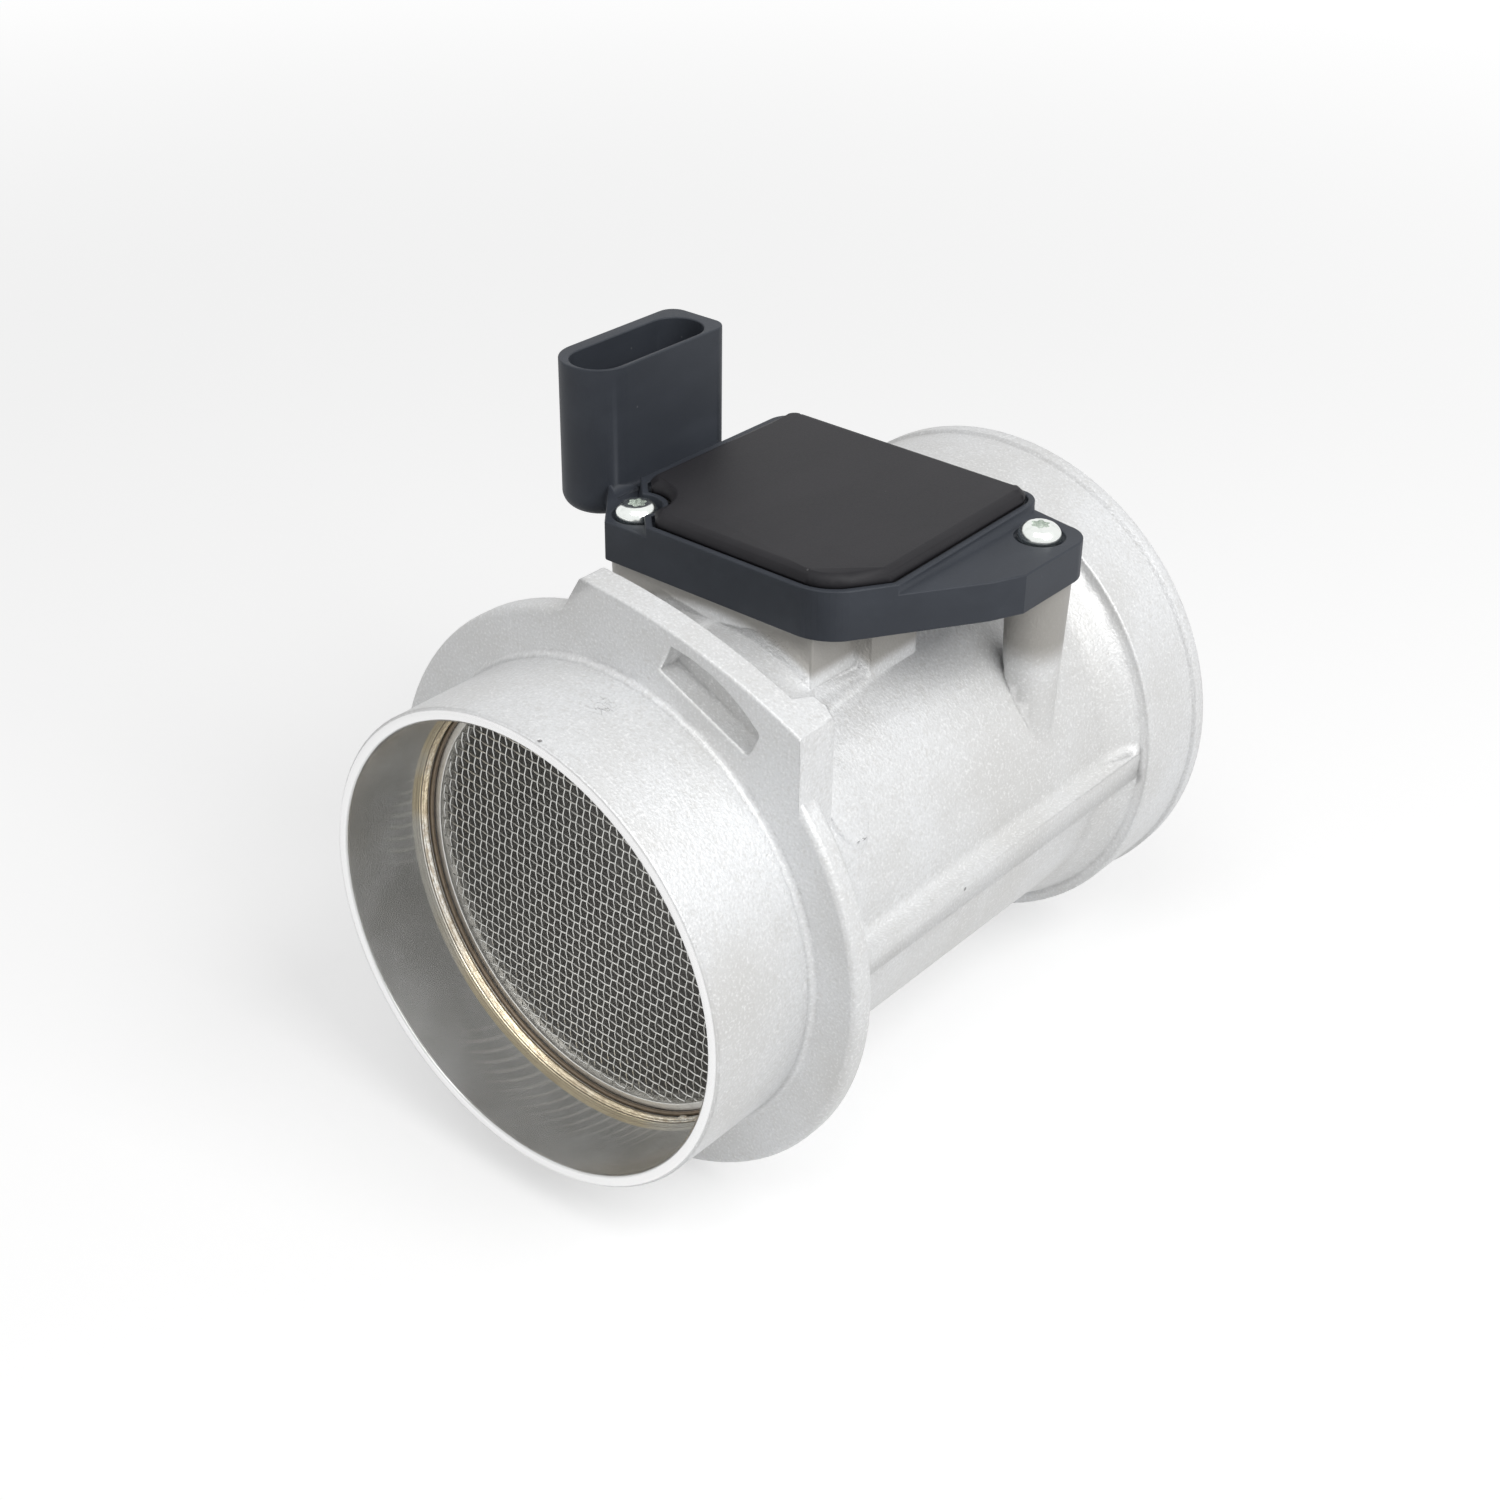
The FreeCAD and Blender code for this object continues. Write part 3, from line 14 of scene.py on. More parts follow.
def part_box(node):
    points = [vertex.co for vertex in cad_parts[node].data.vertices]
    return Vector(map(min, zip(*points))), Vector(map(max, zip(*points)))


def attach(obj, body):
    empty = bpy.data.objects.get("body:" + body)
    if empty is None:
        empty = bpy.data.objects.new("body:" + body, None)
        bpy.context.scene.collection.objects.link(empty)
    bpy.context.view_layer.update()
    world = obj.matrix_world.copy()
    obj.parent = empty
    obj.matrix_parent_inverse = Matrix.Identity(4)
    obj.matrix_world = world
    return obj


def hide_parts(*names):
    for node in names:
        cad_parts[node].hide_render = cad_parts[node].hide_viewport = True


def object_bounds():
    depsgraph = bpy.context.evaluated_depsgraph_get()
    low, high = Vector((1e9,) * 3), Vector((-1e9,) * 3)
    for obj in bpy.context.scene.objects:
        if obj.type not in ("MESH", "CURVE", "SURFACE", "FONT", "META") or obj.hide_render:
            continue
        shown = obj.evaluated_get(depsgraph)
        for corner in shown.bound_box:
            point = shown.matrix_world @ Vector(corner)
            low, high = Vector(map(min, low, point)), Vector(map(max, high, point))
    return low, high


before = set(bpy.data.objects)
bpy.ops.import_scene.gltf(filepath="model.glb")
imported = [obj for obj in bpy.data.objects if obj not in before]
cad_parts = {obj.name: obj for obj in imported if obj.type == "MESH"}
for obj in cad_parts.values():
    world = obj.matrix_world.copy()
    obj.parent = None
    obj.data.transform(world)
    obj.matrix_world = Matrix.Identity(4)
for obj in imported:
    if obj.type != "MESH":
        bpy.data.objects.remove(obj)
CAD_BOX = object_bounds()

LOG = logging.getLogger("airflow_sensor")
MM = 0.001
MM_PER_METRE = 1000.0
JOIN = 1e-6
ALONG_TUBE = Matrix.Rotation(math.radians(90), 4, "X")

Number = float | int
Colour = tuple[float, float, float]
Point = tuple[float, float, float]
Span = tuple[float, float]
Socket = bpy.types.NodeSocket


class Signal:
    """A number that varies over a surface, with the usual arithmetic."""

    def __init__(self, graph: "Graph", socket: Socket) -> None:
        """Wrap one output socket of a graph."""
        self.graph = graph
        self.socket = socket

    def __add__(self, other: "Signal | Number") -> "Signal":
        """The sum."""
        return self.graph.maths("ADD", self, other)

    def __radd__(self, other: Number) -> "Signal":
        """The sum, with the number first."""
        return self.graph.maths("ADD", other, self)

    def __sub__(self, other: "Signal | Number") -> "Signal":
        """The difference."""
        return self.graph.maths("SUBTRACT", self, other)

    def __rsub__(self, other: Number) -> "Signal":
        """The difference, with the number first."""
        return self.graph.maths("SUBTRACT", other, self)

    def __mul__(self, other: "Signal | Number") -> "Signal":
        """The product."""
        return self.graph.maths("MULTIPLY", self, other)

    def __rmul__(self, other: Number) -> "Signal":
        """The product, with the number first."""
        return self.graph.maths("MULTIPLY", other, self)

    def root(self) -> "Signal":
        """The square root."""
        return self.graph.maths("SQRT", self)

    def wave(self) -> "Signal":
        """The sine."""
        return self.graph.maths("SINE", self)

    def ramp(self, low: float, high: float) -> "Signal":
        """Zero below low and one above high, with a smooth step between.

        Args:
            low: value at which the result is 0.
            high: value at which the result is 1; it may be below low.

        Returns:
            The stepped signal.
        """
        made = self.graph.node(
            "ShaderNodeMapRange", {"interpolation_type": "SMOOTHSTEP"},
            {"Value": self, "From Min": low, "From Max": high})
        return Signal(self.graph, made.outputs[0])

    def band(self, low: float, high: float, blur: float) -> "Signal":
        """One between low and high, and zero outside, over a blurred edge."""
        return self.ramp(low - blur, low + blur) * self.ramp(high + blur, high - blur)


class Graph:
    """The nodes of one material, or of the world."""

    mark_core: float = 0.4

    def __init__(self, owner: bpy.types.Material | bpy.types.World) -> None:
        """Start with no nodes.

        Args:
            owner: the material or world that the nodes belong to.
        """
        self.owner = owner
        owner.use_nodes = True
        self.tree = owner.node_tree
        self.tree.nodes.clear()

    def node(self, kind: str, settings: dict[str, object] | None = None,
             sockets: dict[str | int, object] | None = None) -> bpy.types.Node:
        """Add a node.

        Args:
            kind: the node's type.
            settings: its properties, which are set first.
            sockets: values or links of its inputs, by name or index.

        Returns:
            The new node.
        """
        made = self.tree.nodes.new(kind)
        for key, setting in (settings or {}).items():
            setattr(made, key, setting)
        for key, value in (sockets or {}).items():
            target = made.inputs[key]
            if isinstance(value, Signal):
                self.tree.links.new(value.socket, target)
            elif isinstance(value, Socket):
                self.tree.links.new(value, target)
            elif target.type == "RGBA":
                target.default_value = (*value, 1.0)
            else:
                target.default_value = value
        return made

    def maths(self, operation: str, *values: Signal | Number) -> Signal:
        """Add a Math node.

        Args:
            operation: what it works out.
            values: its signals and numbers, in order.

        Returns:
            The result.
        """
        made = self.node("ShaderNodeMath", {"operation": operation},
                         dict(enumerate(values)))
        return Signal(self, made.outputs[0])

    def place(self) -> Socket:
        """Object coordinates."""
        return self.node("ShaderNodeTexCoord").outputs["Object"]

    def axes(self) -> tuple[Signal, Signal, Signal]:
        """Object coordinates in millimetres, one signal for each axis."""
        parts = self.node("ShaderNodeSeparateXYZ", {}, {0: self.place()})
        return tuple(Signal(self, output) * MM_PER_METRE for output in parts.outputs)

    def near(self, point_mm: Point, reach_mm: float) -> Signal:
        """Mark a small spot on the object.

        Args:
            point_mm: the spot's middle.
            reach_mm: how far from it the mark has faded out.

        Returns:
            One at the point, falling to zero over the reach.
        """
        gap = self.node("ShaderNodeVectorMath", {"operation": "DISTANCE"}, {
            0: self.place(), 1: [value * MM for value in point_mm]})
        far_mm = Signal(self, gap.outputs["Value"]) * MM_PER_METRE
        return far_mm.ramp(reach_mm, reach_mm * self.mark_core)

    def stretched(self, stretch: Point) -> Socket:
        """Object coordinates, scaled along each axis to draw a pattern closer."""
        return self.node("ShaderNodeMapping", {}, {
            "Vector": self.place(), "Scale": stretch}).outputs[0]

    def noise(self, grain_mm: float, detail: float = 2.0, roughness: float = 0.5,
              where: Socket | None = None) -> Signal:
        """Add noise.

        Args:
            grain_mm: about how wide its lumps are.
            detail: how many finer layers it has.
            roughness: how strong the finer layers are.
            where: coordinates, if not the object's own.

        Returns:
            The noise, mostly between 0.3 and 0.7.
        """
        made = self.node("ShaderNodeTexNoise", {}, {
            "Vector": where or self.place(), "Scale": MM_PER_METRE / grain_mm,
            "Detail": detail, "Roughness": roughness})
        return Signal(self, made.outputs[0])

    def cells(self, size_mm: float) -> Signal:
        """Scatter points over the object.

        Args:
            size_mm: about how far apart the points are.

        Returns:
            Distance to the nearest point, as a share of that size.
        """
        made = self.node("ShaderNodeTexVoronoi", {"feature": "F1"}, {
            "Vector": self.place(), "Scale": MM_PER_METRE / size_mm})
        return Signal(self, made.outputs["Distance"])

    def blend(self, amount: Signal | Number, first: Colour | Socket,
              second: Colour | Socket) -> Socket:
        """Mix two colours.

        Args:
            amount: share of the second colour.
            first: colour where the amount is 0.
            second: colour where the amount is 1.

        Returns:
            The mixed colour.
        """
        made = self.node("ShaderNodeMix", {"data_type": "RGBA"}, {
            0: amount, 6: first, 7: second})
        return made.outputs[2]

    def relief(self, height: Signal, depth_mm: float, strength: float) -> Socket:
        """A normal that shows a height of 0 to 1 as bumps of the given depth."""
        return self.node("ShaderNodeBump", {}, {
            "Strength": strength, "Distance": depth_mm * MM, "Height": height}).outputs[0]

    def surface(self, **sockets: object) -> bpy.types.Material:
        """Finish a material with a principled shader.

        Args:
            sockets: the shader's inputs, with underscores for spaces.

        Returns:
            The material.
        """
        named = {key.replace("_", " "): value for key, value in sockets.items()}
        shader = self.node("ShaderNodeBsdfPrincipled", {}, named)
        self.node("ShaderNodeOutputMaterial", {}, {0: shader.outputs[0]})
        return self.owner

    def seen(self) -> Signal:
        """Find the rays that show the background.

        Returns:
            One for rays straight from the camera, off gloss or through glass.
        """
        rays = self.node("ShaderNodeLightPath")
        seen = Signal(self, rays.outputs["Is Camera Ray"])
        for ray in ("Is Glossy Ray", "Is Transmission Ray"):
            seen = self.maths("MAXIMUM", seen, Signal(self, rays.outputs[ray]))
        return seen


class Finish:
    """A finish that makes its material once and hands out the same one."""

    made: dict[object, bpy.types.Material] = {}

    def material(self) -> bpy.types.Material:
        """Look the material up, or make it.

        Returns:
            The finish's material.
        """
        if self not in Finish.made:
            Finish.made[self] = self.build()
        return Finish.made[self]

    def build(self) -> bpy.types.Material:
        """Make the material; each finish has its own."""
        raise NotImplementedError


@dataclass(frozen=True)
class CastAluminium(Finish):
    """Blasted casting outside, with turned bores and a turned front face; painted shade darkens
    it under the module and deep in the bore.
    """

    skin: Colour = (0.80, 0.81, 0.82)
    shade: Colour = (0.66, 0.655, 0.64)
    sparkle: Colour = (0.97, 0.97, 0.97)
    # painted shade: colour painted where the housing's shadow falls on the casting below the
    # module
    painted_shade_under_module: Colour = (0.32, 0.303, 0.275)
    # painted shade: colour painted deep in the bore behind the screen, where little light
    # reaches
    painted_bore_shade: Colour = (0.20, 0.19, 0.17)
    hollow: Colour = (0.16, 0.15, 0.15)
    turned: Colour = (0.70, 0.705, 0.705)
    dull: Colour = (0.53, 0.53, 0.52)
    chatter: Colour = (0.92, 0.91, 0.88)
    cream: Colour = (0.92, 0.90, 0.84)
    gilt: Colour = (0.90, 0.79, 0.58)
    bronze: Colour = (0.50, 0.40, 0.28)
    groove: Colour = (0.20, 0.17, 0.13)
    faced: Colour = (0.95, 0.95, 0.95)
    grain_mm: float = 0.5
    coarse_mm: float = 1.5
    patch_mm: float = 26.0
    crack_mm: float = 2.6
    crack_stretch: Point = (1.0, 1.6, 1.0)
    scuff_mm: Point = (6.1, 14.4, 42.0)
    scuff_reach_mm: float = 3.2
    pits_mm: tuple[Point, ...] = ((44.0, 61.1, 0.9), (6.6, 0.9, 41.9))
    pit_reach_mm: float = 0.45
    bore_mm: float = 40.45
    tube_mm: float = 41.0
    face_mm: Span = (0.35, 0.05)
    face_radius_mm: Span = (43.5, 43.0)
    seat_mm: Span = (17.9, 17.6)
    edge_mm: float = 0.15
    # where the painted shade under the module lies, and how strongly it is mixed in
    painted_shade_rise_mm: Span = (0.8, 3.0)
    painted_shade_height_mm: Span = (28.0, 34.0)
    painted_shade_span_mm: Span = (39.0, 104.0)
    painted_shade_blur_mm: float = 3.0
    painted_shade_share: float = 0.85
    # where the painted shade in the bore lies, and how strongly it is mixed in
    bore_shade_depth_mm: float = 0.4
    bore_shade_front_mm: Span = (17.5, 17.7)
    bore_shade_fade_mm: Span = (110.0, 60.0)
    bore_shade_share: float = 0.85
    gilt_mm: Span = (14.8, 17.75)
    gilt_blur_mm: float = 0.10
    groove_mm: Span = (16.25, 16.42)
    groove_blur_mm: float = 0.05
    worn_mm: Span = (16.3, 16.4)
    rough_mm: Span = (16.4, 17.4)
    chatter_lines: float = 105.0
    chatter_bow: float = 0.09
    chatter_end_mm: float = 17.0
    chatter_fade_mm: Span = (4.0, 12.0)
    chatter_zone_mm: float = 24.0
    rings_per_mm: float = 19.0
    ring_drift_mm: float = 7.0
    cloud_mm: float = 15.0
    seat_tint_mm: float = 20.0
    mottle_mm: float = 1.2
    mottle_stretch: Point = (1.0, 3.5, 1.0)
    relief_mm: float = 0.24
    relief_share: float = 0.8
    cast_metal: float = 0.28
    turned_metal: float = 0.54
    cast_rough: float = 0.38
    grain_rough: float = 0.16
    turned_rough: float = 0.25

    def skin_parts(self, graph: Graph, y: Signal, z: Signal,
                   radius: Signal) -> tuple[Socket, Signal]:
        """The blasted skin, with painted shade under the module and painted shade deep in the
        bore.

        Args:
            graph: the material's graph.
            y: place along the tube.
            z: height.
            radius: distance from the tube's axis.

        Returns:
            Its colour, and its height for the relief.
        """
        grain = graph.noise(self.grain_mm, 2.0, 0.6)
        coarse = graph.noise(self.coarse_mm, 3.0, 0.6)
        patches = graph.noise(self.patch_mm, 3.0, 0.5)
        colour = self.skin
        for lumps, low, high, amount, tint in (
                (patches, 0.30, 0.75, 0.8, self.shade), (grain, 0.50, 0.30, 0.5, self.shade),
                (coarse, 0.46, 0.30, 0.4, self.shade), (grain, 0.52, 0.72, 0.6, self.sparkle)):
            colour = graph.blend(lumps.ramp(low, high) * amount, colour, tint)
        # Painted shade under the module: darker on the pedestal and bosses below the housing.
        rise, full = self.painted_shade_rise_mm
        under = (radius.ramp(self.tube_mm + rise, self.tube_mm + full)
                 * z.ramp(*self.painted_shade_height_mm)
                 * y.band(*self.painted_shade_span_mm, self.painted_shade_blur_mm))
        colour = graph.blend(under * self.painted_shade_share, colour, self.painted_shade_under_module)
        # Painted shade deep in the bore, behind the screen and fading towards the rear end.
        depth = (radius.ramp(self.bore_mm, self.bore_mm - self.bore_shade_depth_mm)
                 * y.ramp(*self.bore_shade_front_mm) * y.ramp(*self.bore_shade_fade_mm))
        colour = graph.blend(depth * self.bore_shade_share, colour, self.painted_bore_shade)
        cracks = graph.noise(self.crack_mm, 3.0, 0.6, graph.stretched(self.crack_stretch))
        scuff = (cracks.band(0.492, 0.508, 0.006)
                 * graph.near(self.scuff_mm, self.scuff_reach_mm))
        marks = scuff * 0.6
        for pit in self.pits_mm:
            marks = marks + graph.near(pit, self.pit_reach_mm)
        colour = graph.blend(marks * 0.8, colour, self.hollow)
        return colour, grain * 0.5 + coarse * 0.5 - marks

    def bore_parts(self, graph: Graph, x: Signal, y: Signal, z: Signal,
                   face: Signal) -> tuple[Socket, Signal]:
        """The turned surfaces: chatter marks, rings and the gilt seat of the screen.

        Args:
            graph: the material's graph.
            x: place across the tube.
            y: place along the tube.
            z: height.
            face: one on the turned front face.

        Returns:
            Their colour, and their height for the relief.
        """
        angle = graph.maths("ARCTAN2", z, x)
        bow = (y - self.chatter_end_mm) * (y - self.chatter_end_mm)
        lines = (angle * self.chatter_lines + bow * self.chatter_bow).wave().ramp(0.2, 1.0)
        zone = graph.noise(self.chatter_zone_mm, 1.0).ramp(0.50, 0.62)
        lines = lines * zone * y.ramp(*self.chatter_fade_mm)
        rings = (y * self.rings_per_mm + graph.noise(self.ring_drift_mm) * 1.5).wave()
        cloud = graph.noise(self.cloud_mm, 3.0).ramp(0.30, 0.72)
        colour = graph.blend(cloud, self.turned, self.dull)
        colour = graph.blend(lines * 0.55, colour, self.chatter)
        mottle = graph.noise(self.mottle_mm, 3.0, 0.7, graph.stretched(self.mottle_stretch))
        # Random patches of cream, gilt and bronze along the screen seat.
        seat_tint = graph.noise(self.seat_tint_mm, 1.0)
        gilt = graph.blend(seat_tint.ramp(0.42, 0.56), self.cream, self.gilt)
        gilt = graph.blend(seat_tint.ramp(0.60, 0.70), gilt, self.bronze)
        worn = graph.blend(mottle.ramp(0.40, 0.62) * 0.75, gilt, self.bronze)
        seat = graph.blend(y.ramp(*self.worn_mm), gilt, worn)
        colour = graph.blend(y.band(*self.gilt_mm, self.gilt_blur_mm), colour, seat)
        line = y.band(*self.groove_mm, self.groove_blur_mm)
        colour = graph.blend(line * 0.85, colour, self.groove)
        colour = graph.blend(face, colour, self.faced)
        rough = mottle * y.band(*self.rough_mm, self.gilt_blur_mm)
        return colour, rings * 0.10 + lines * 0.22 + rough * 0.5

    def build(self) -> bpy.types.Material:
        """Tell the turned surfaces from the skin by their place, and join the two.

        Returns:
            The casting's material.
        """
        graph = Graph(bpy.data.materials.new("cast_aluminium"))
        x, y, z = graph.axes()
        radius = (x * x + z * z).root()
        inside = (radius.ramp(self.bore_mm + self.edge_mm, self.bore_mm - self.edge_mm)
                  * y.ramp(*self.seat_mm))
        face = y.ramp(*self.face_mm) * radius.ramp(*self.face_radius_mm)
        turned = inside + face - inside * face
        skin, skin_height = self.skin_parts(graph, y, z, radius)
        bore, bore_height = self.bore_parts(graph, x, y, z, face)
        cast = 1.0 - turned
        height = skin_height * cast + bore_height * turned * 0.5
        return graph.surface(
            Base_Color=graph.blend(turned, skin, bore),
            Metallic=self.cast_metal + turned * self.turned_metal,
            Roughness=((self.cast_rough + skin_height * self.grain_rough) * cast
                       + turned * self.turned_rough),
            Normal=graph.relief(height, self.relief_mm, self.relief_share))


@dataclass(frozen=True)
class DrawnMetal(Finish):
    """Bare or plated metal with fine drawn marks."""

    name: str
    colour: Colour
    roughness: float
    worn: Colour
    tone_mm: float = 1.2
    drawn_mm: float = 0.12
    drawn_rough: float = 0.12
    drawn_depth_mm: float = 0.01

    def build(self) -> bpy.types.Material:
        """Vary the tone and the gloss with fine noise.

        Returns:
            The metal's material.
        """
        graph = Graph(bpy.data.materials.new(self.name))
        tone = graph.noise(self.tone_mm, 3.0)
        fine = graph.noise(self.drawn_mm, 2.0)
        return graph.surface(
            Base_Color=graph.blend(tone.ramp(0.45, 0.8) * 0.6, self.colour, self.worn),
            Metallic=1.0, Roughness=self.roughness + fine * self.drawn_rough,
            Normal=graph.relief(fine, self.drawn_depth_mm, 0.4))


@dataclass(frozen=True)
class MouldedPlastic(Finish):
    """Black glass-filled plastic with a fine satin skin."""

    name: str
    colour: Colour
    paler: Colour
    roughness: float
    dust: Colour = (0.25, 0.25, 0.26)
    grain_mm: float = 0.22
    flow_mm: float = 9.0
    flow_stretch: Point = (1.0, 0.4, 1.0)
    dust_mm: float = 7.0
    specular: float = 0.26
    grain_rough: float = 0.14
    flow_rough: float = 0.08
    grain_depth_mm: float = 0.03

    def build(self) -> bpy.types.Material:
        """A satin grain, faint flow marks and dust that catches the light.

        Returns:
            The plastic's material.
        """
        graph = Graph(bpy.data.materials.new(self.name))
        grain = graph.noise(self.grain_mm, 2.0, 0.6)
        flow = graph.noise(self.flow_mm, 3.0, 0.5, graph.stretched(self.flow_stretch))
        specks = graph.cells(self.dust_mm).ramp(0.035, 0.02)
        colour = graph.blend(flow.ramp(0.35, 0.75), self.colour, self.paler)
        return graph.surface(
            Base_Color=graph.blend(specks * 0.25, colour, self.dust),
            Metallic=0.0, Specular_IOR_Level=self.specular,
            Roughness=self.roughness + grain * self.grain_rough + flow * self.flow_rough,
            Normal=graph.relief(grain, self.grain_depth_mm, 0.6))


@dataclass(frozen=True)
class Mottled(Finish):
    """Ceramic, glass, epoxy or rubber: one body colour with its own mottling."""

    name: str
    colour: Colour
    mottle: Colour
    roughness: float
    grain_mm: float = 0.8
    grain_rough: float = 0.1
    grain_depth_mm: float = 0.03

    def build(self) -> bpy.types.Material:
        """Mottle the colour and roughen the skin a little.

        Returns:
            The body's material.
        """
        graph = Graph(bpy.data.materials.new(self.name))
        mottle = graph.noise(self.grain_mm, 3.0)
        return graph.surface(
            Base_Color=graph.blend(mottle.ramp(0.4, 0.7), self.colour, self.mottle),
            Metallic=0.0, Roughness=self.roughness + mottle * self.grain_rough,
            Normal=graph.relief(mottle, self.grain_depth_mm, 0.3))


CASTING = CastAluminium()
SCREEN_WIRE = DrawnMetal("screen_wire", (0.72, 0.72, 0.695), 0.34, (0.57, 0.56, 0.535))
SCREEN_RIM = DrawnMetal("screen_rim", (0.78, 0.77, 0.74), 0.36, (0.60, 0.59, 0.56))
RING_WIRE = DrawnMetal("ring_wire", (0.20, 0.16, 0.12), 0.30, (0.10, 0.08, 0.06))
ZINC = DrawnMetal("zinc_steel", (0.86, 0.89, 0.86), 0.13, (0.72, 0.76, 0.72))
TIN = DrawnMetal("tinned_copper", (0.80, 0.78, 0.72), 0.3, (0.62, 0.58, 0.50))
ROLLED = DrawnMetal("spreader_aluminium", (0.80, 0.80, 0.80), 0.35, (0.62, 0.62, 0.62))
HOUSING = MouldedPlastic("housing_plastic", (0.034, 0.039, 0.049), (0.044, 0.050, 0.062),
                         0.40)
LID = MouldedPlastic("cover_plastic", (0.014, 0.0135, 0.016), (0.021, 0.020, 0.023), 0.43)
SEALANT = Mottled("adhesive", (0.03, 0.03, 0.03), (0.05, 0.05, 0.05), 0.6)
RUBBER = Mottled("seal_rubber", (0.10, 0.04, 0.03), (0.13, 0.06, 0.04), 0.7)
BOARD = Mottled("board_ceramic", (0.75, 0.74, 0.70), (0.62, 0.62, 0.58), 0.35, 3.0)
EPOXY = Mottled("chip_plastic", (0.03, 0.03, 0.03), (0.045, 0.045, 0.045), 0.5, 0.4)
CHIP_CERAMIC = Mottled("capacitor_ceramic", (0.45, 0.33, 0.22), (0.36, 0.25, 0.16), 0.4)
FILM = Mottled("element_ceramic", (0.85, 0.85, 0.82), (0.70, 0.72, 0.72), 0.3)
GLASS_BEAD = Mottled("bead_glass", (0.25, 0.12, 0.06), (0.18, 0.08, 0.04), 0.2)


class Slot(Enum):
    """The record's material slots that new pieces take."""

    ALUMINIUM = "cast_aluminium"
    SCREEN = "screen_steel"
    HOUSING = "housing_plastic"
    COVER = "cover_plastic"
    ZINC = "zinc_steel"


@dataclass
class Piece:
    """A visible piece that stands for CAD nodes and is built in a bmesh."""

    name: str
    slot: Slot
    finish: Finish
    nodes: tuple[str, ...]
    smooth_degrees: float = 32.0
    mesh: bmesh.types.BMesh = field(default_factory=bmesh.new)

    def finished(self) -> bpy.types.Object:
        """Turn the bmesh into an object that rides the root body.

        Returns:
            The new object, with its material; the CAD nodes that it stands for are hidden.
        """
        data = bpy.data.meshes.new(self.name)
        self.mesh.to_mesh(data)
        self.mesh.free()
        data.materials.append(self.finish.material())
        data.set_sharp_from_angle(angle=math.radians(self.smooth_degrees))
        data.polygons.foreach_set("use_smooth", [True] * len(data.polygons))
        piece = bpy.data.objects.new(self.name, data)
        bpy.context.scene.collection.objects.link(piece)
        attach(piece, "root")
        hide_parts(*self.nodes)
        return piece


@dataclass(frozen=True)
class Rounding:
    """The rounding of a solid's outer edges, wherever there is room for it.

    An edge is rounded if it is sharper than sharp_degrees and has room_mm on both its
    faces. A neighbour whose cosine to it is above same_line only carries the edge on.
    """

    width_mm: float
    room_mm: float
    segments: int
    sharp_degrees: float
    merge_mm: float = 0.002
    flat_degrees: float = 0.6
    same_line: float = 0.87

    def take(self, mesh: bmesh.types.BMesh, node: str) -> None:
        """Copy a CAD node's mesh into a bmesh, joined up and without flat seams.

        Args:
            mesh: the bmesh to fill.
            node: name of the CAD node.
        """
        mesh.from_mesh(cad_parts[node].data)
        bmesh.ops.remove_doubles(mesh, verts=mesh.verts[:], dist=self.merge_mm * MM)
        bmesh.ops.dissolve_limit(mesh, angle_limit=math.radians(self.flat_degrees),
                                 verts=mesh.verts[:], edges=mesh.edges[:])

    def room(self, edge: bmesh.types.BMEdge, face: bmesh.types.BMFace) -> float:
        """How far a rounding may reach from an edge into one of its faces.

        Args:
            edge: the edge to round.
            face: a face on it.

        Returns:
            The least of the face's depth and the run of the edges that leave its ends.
        """
        start, end = edge.verts
        axis = (end.co - start.co).normalized()
        depth = max((vert.co - start.co - axis * (vert.co - start.co).dot(axis)).length
                    for vert in face.verts)
        runs = [depth]
        for vert in edge.verts:
            for other in vert.link_edges:
                if other is not edge and face in other.link_faces:
                    along = other.other_vert(vert).co - vert.co
                    slope = abs(along.normalized().dot(axis))
                    if slope < self.same_line:
                        runs.append(along.length * math.sqrt(1 - slope * slope))
        return min(runs)

    def mark(self, mesh: bmesh.types.BMesh) -> None:
        """Mark each sharp outer edge that has room, and cut the faces into triangles.

        Args:
            mesh: the bmesh.
        """
        weight = mesh.edges.layers.float.new("bevel_weight_edge")
        for edge in mesh.edges:
            if (len(edge.link_faces) == 2 and edge.is_convex
                    and edge.calc_face_angle(0.0) > math.radians(self.sharp_degrees)
                    and min(self.room(edge, face) for face in edge.link_faces)
                    > self.room_mm * MM):
                edge[weight] = 1.0
        bmesh.ops.triangulate(mesh, faces=mesh.faces[:], quad_method="BEAUTY",
                              ngon_method="BEAUTY")

    def round_off(self, piece: Piece) -> bpy.types.Object:
        """Make a piece from its CAD node, and round it with live modifiers.

        Args:
            piece: the piece, with its mesh still empty.

        Returns:
            The finished object.
        """
        self.take(piece.mesh, piece.nodes[0])
        self.mark(piece.mesh)
        made = piece.finished()
        bevel = made.modifiers.new("Rounding", "BEVEL")
        bevel.width = self.width_mm * MM
        bevel.segments = self.segments
        bevel.limit_method = "WEIGHT"
        bevel.use_clamp_overlap = False
        bevel.loop_slide = False
        bevel.miter_outer = "MITER_ARC"
        bevel.harden_normals = True
        normals = made.modifiers.new("Shading", "WEIGHTED_NORMAL")
        normals.keep_sharp = True
        return made


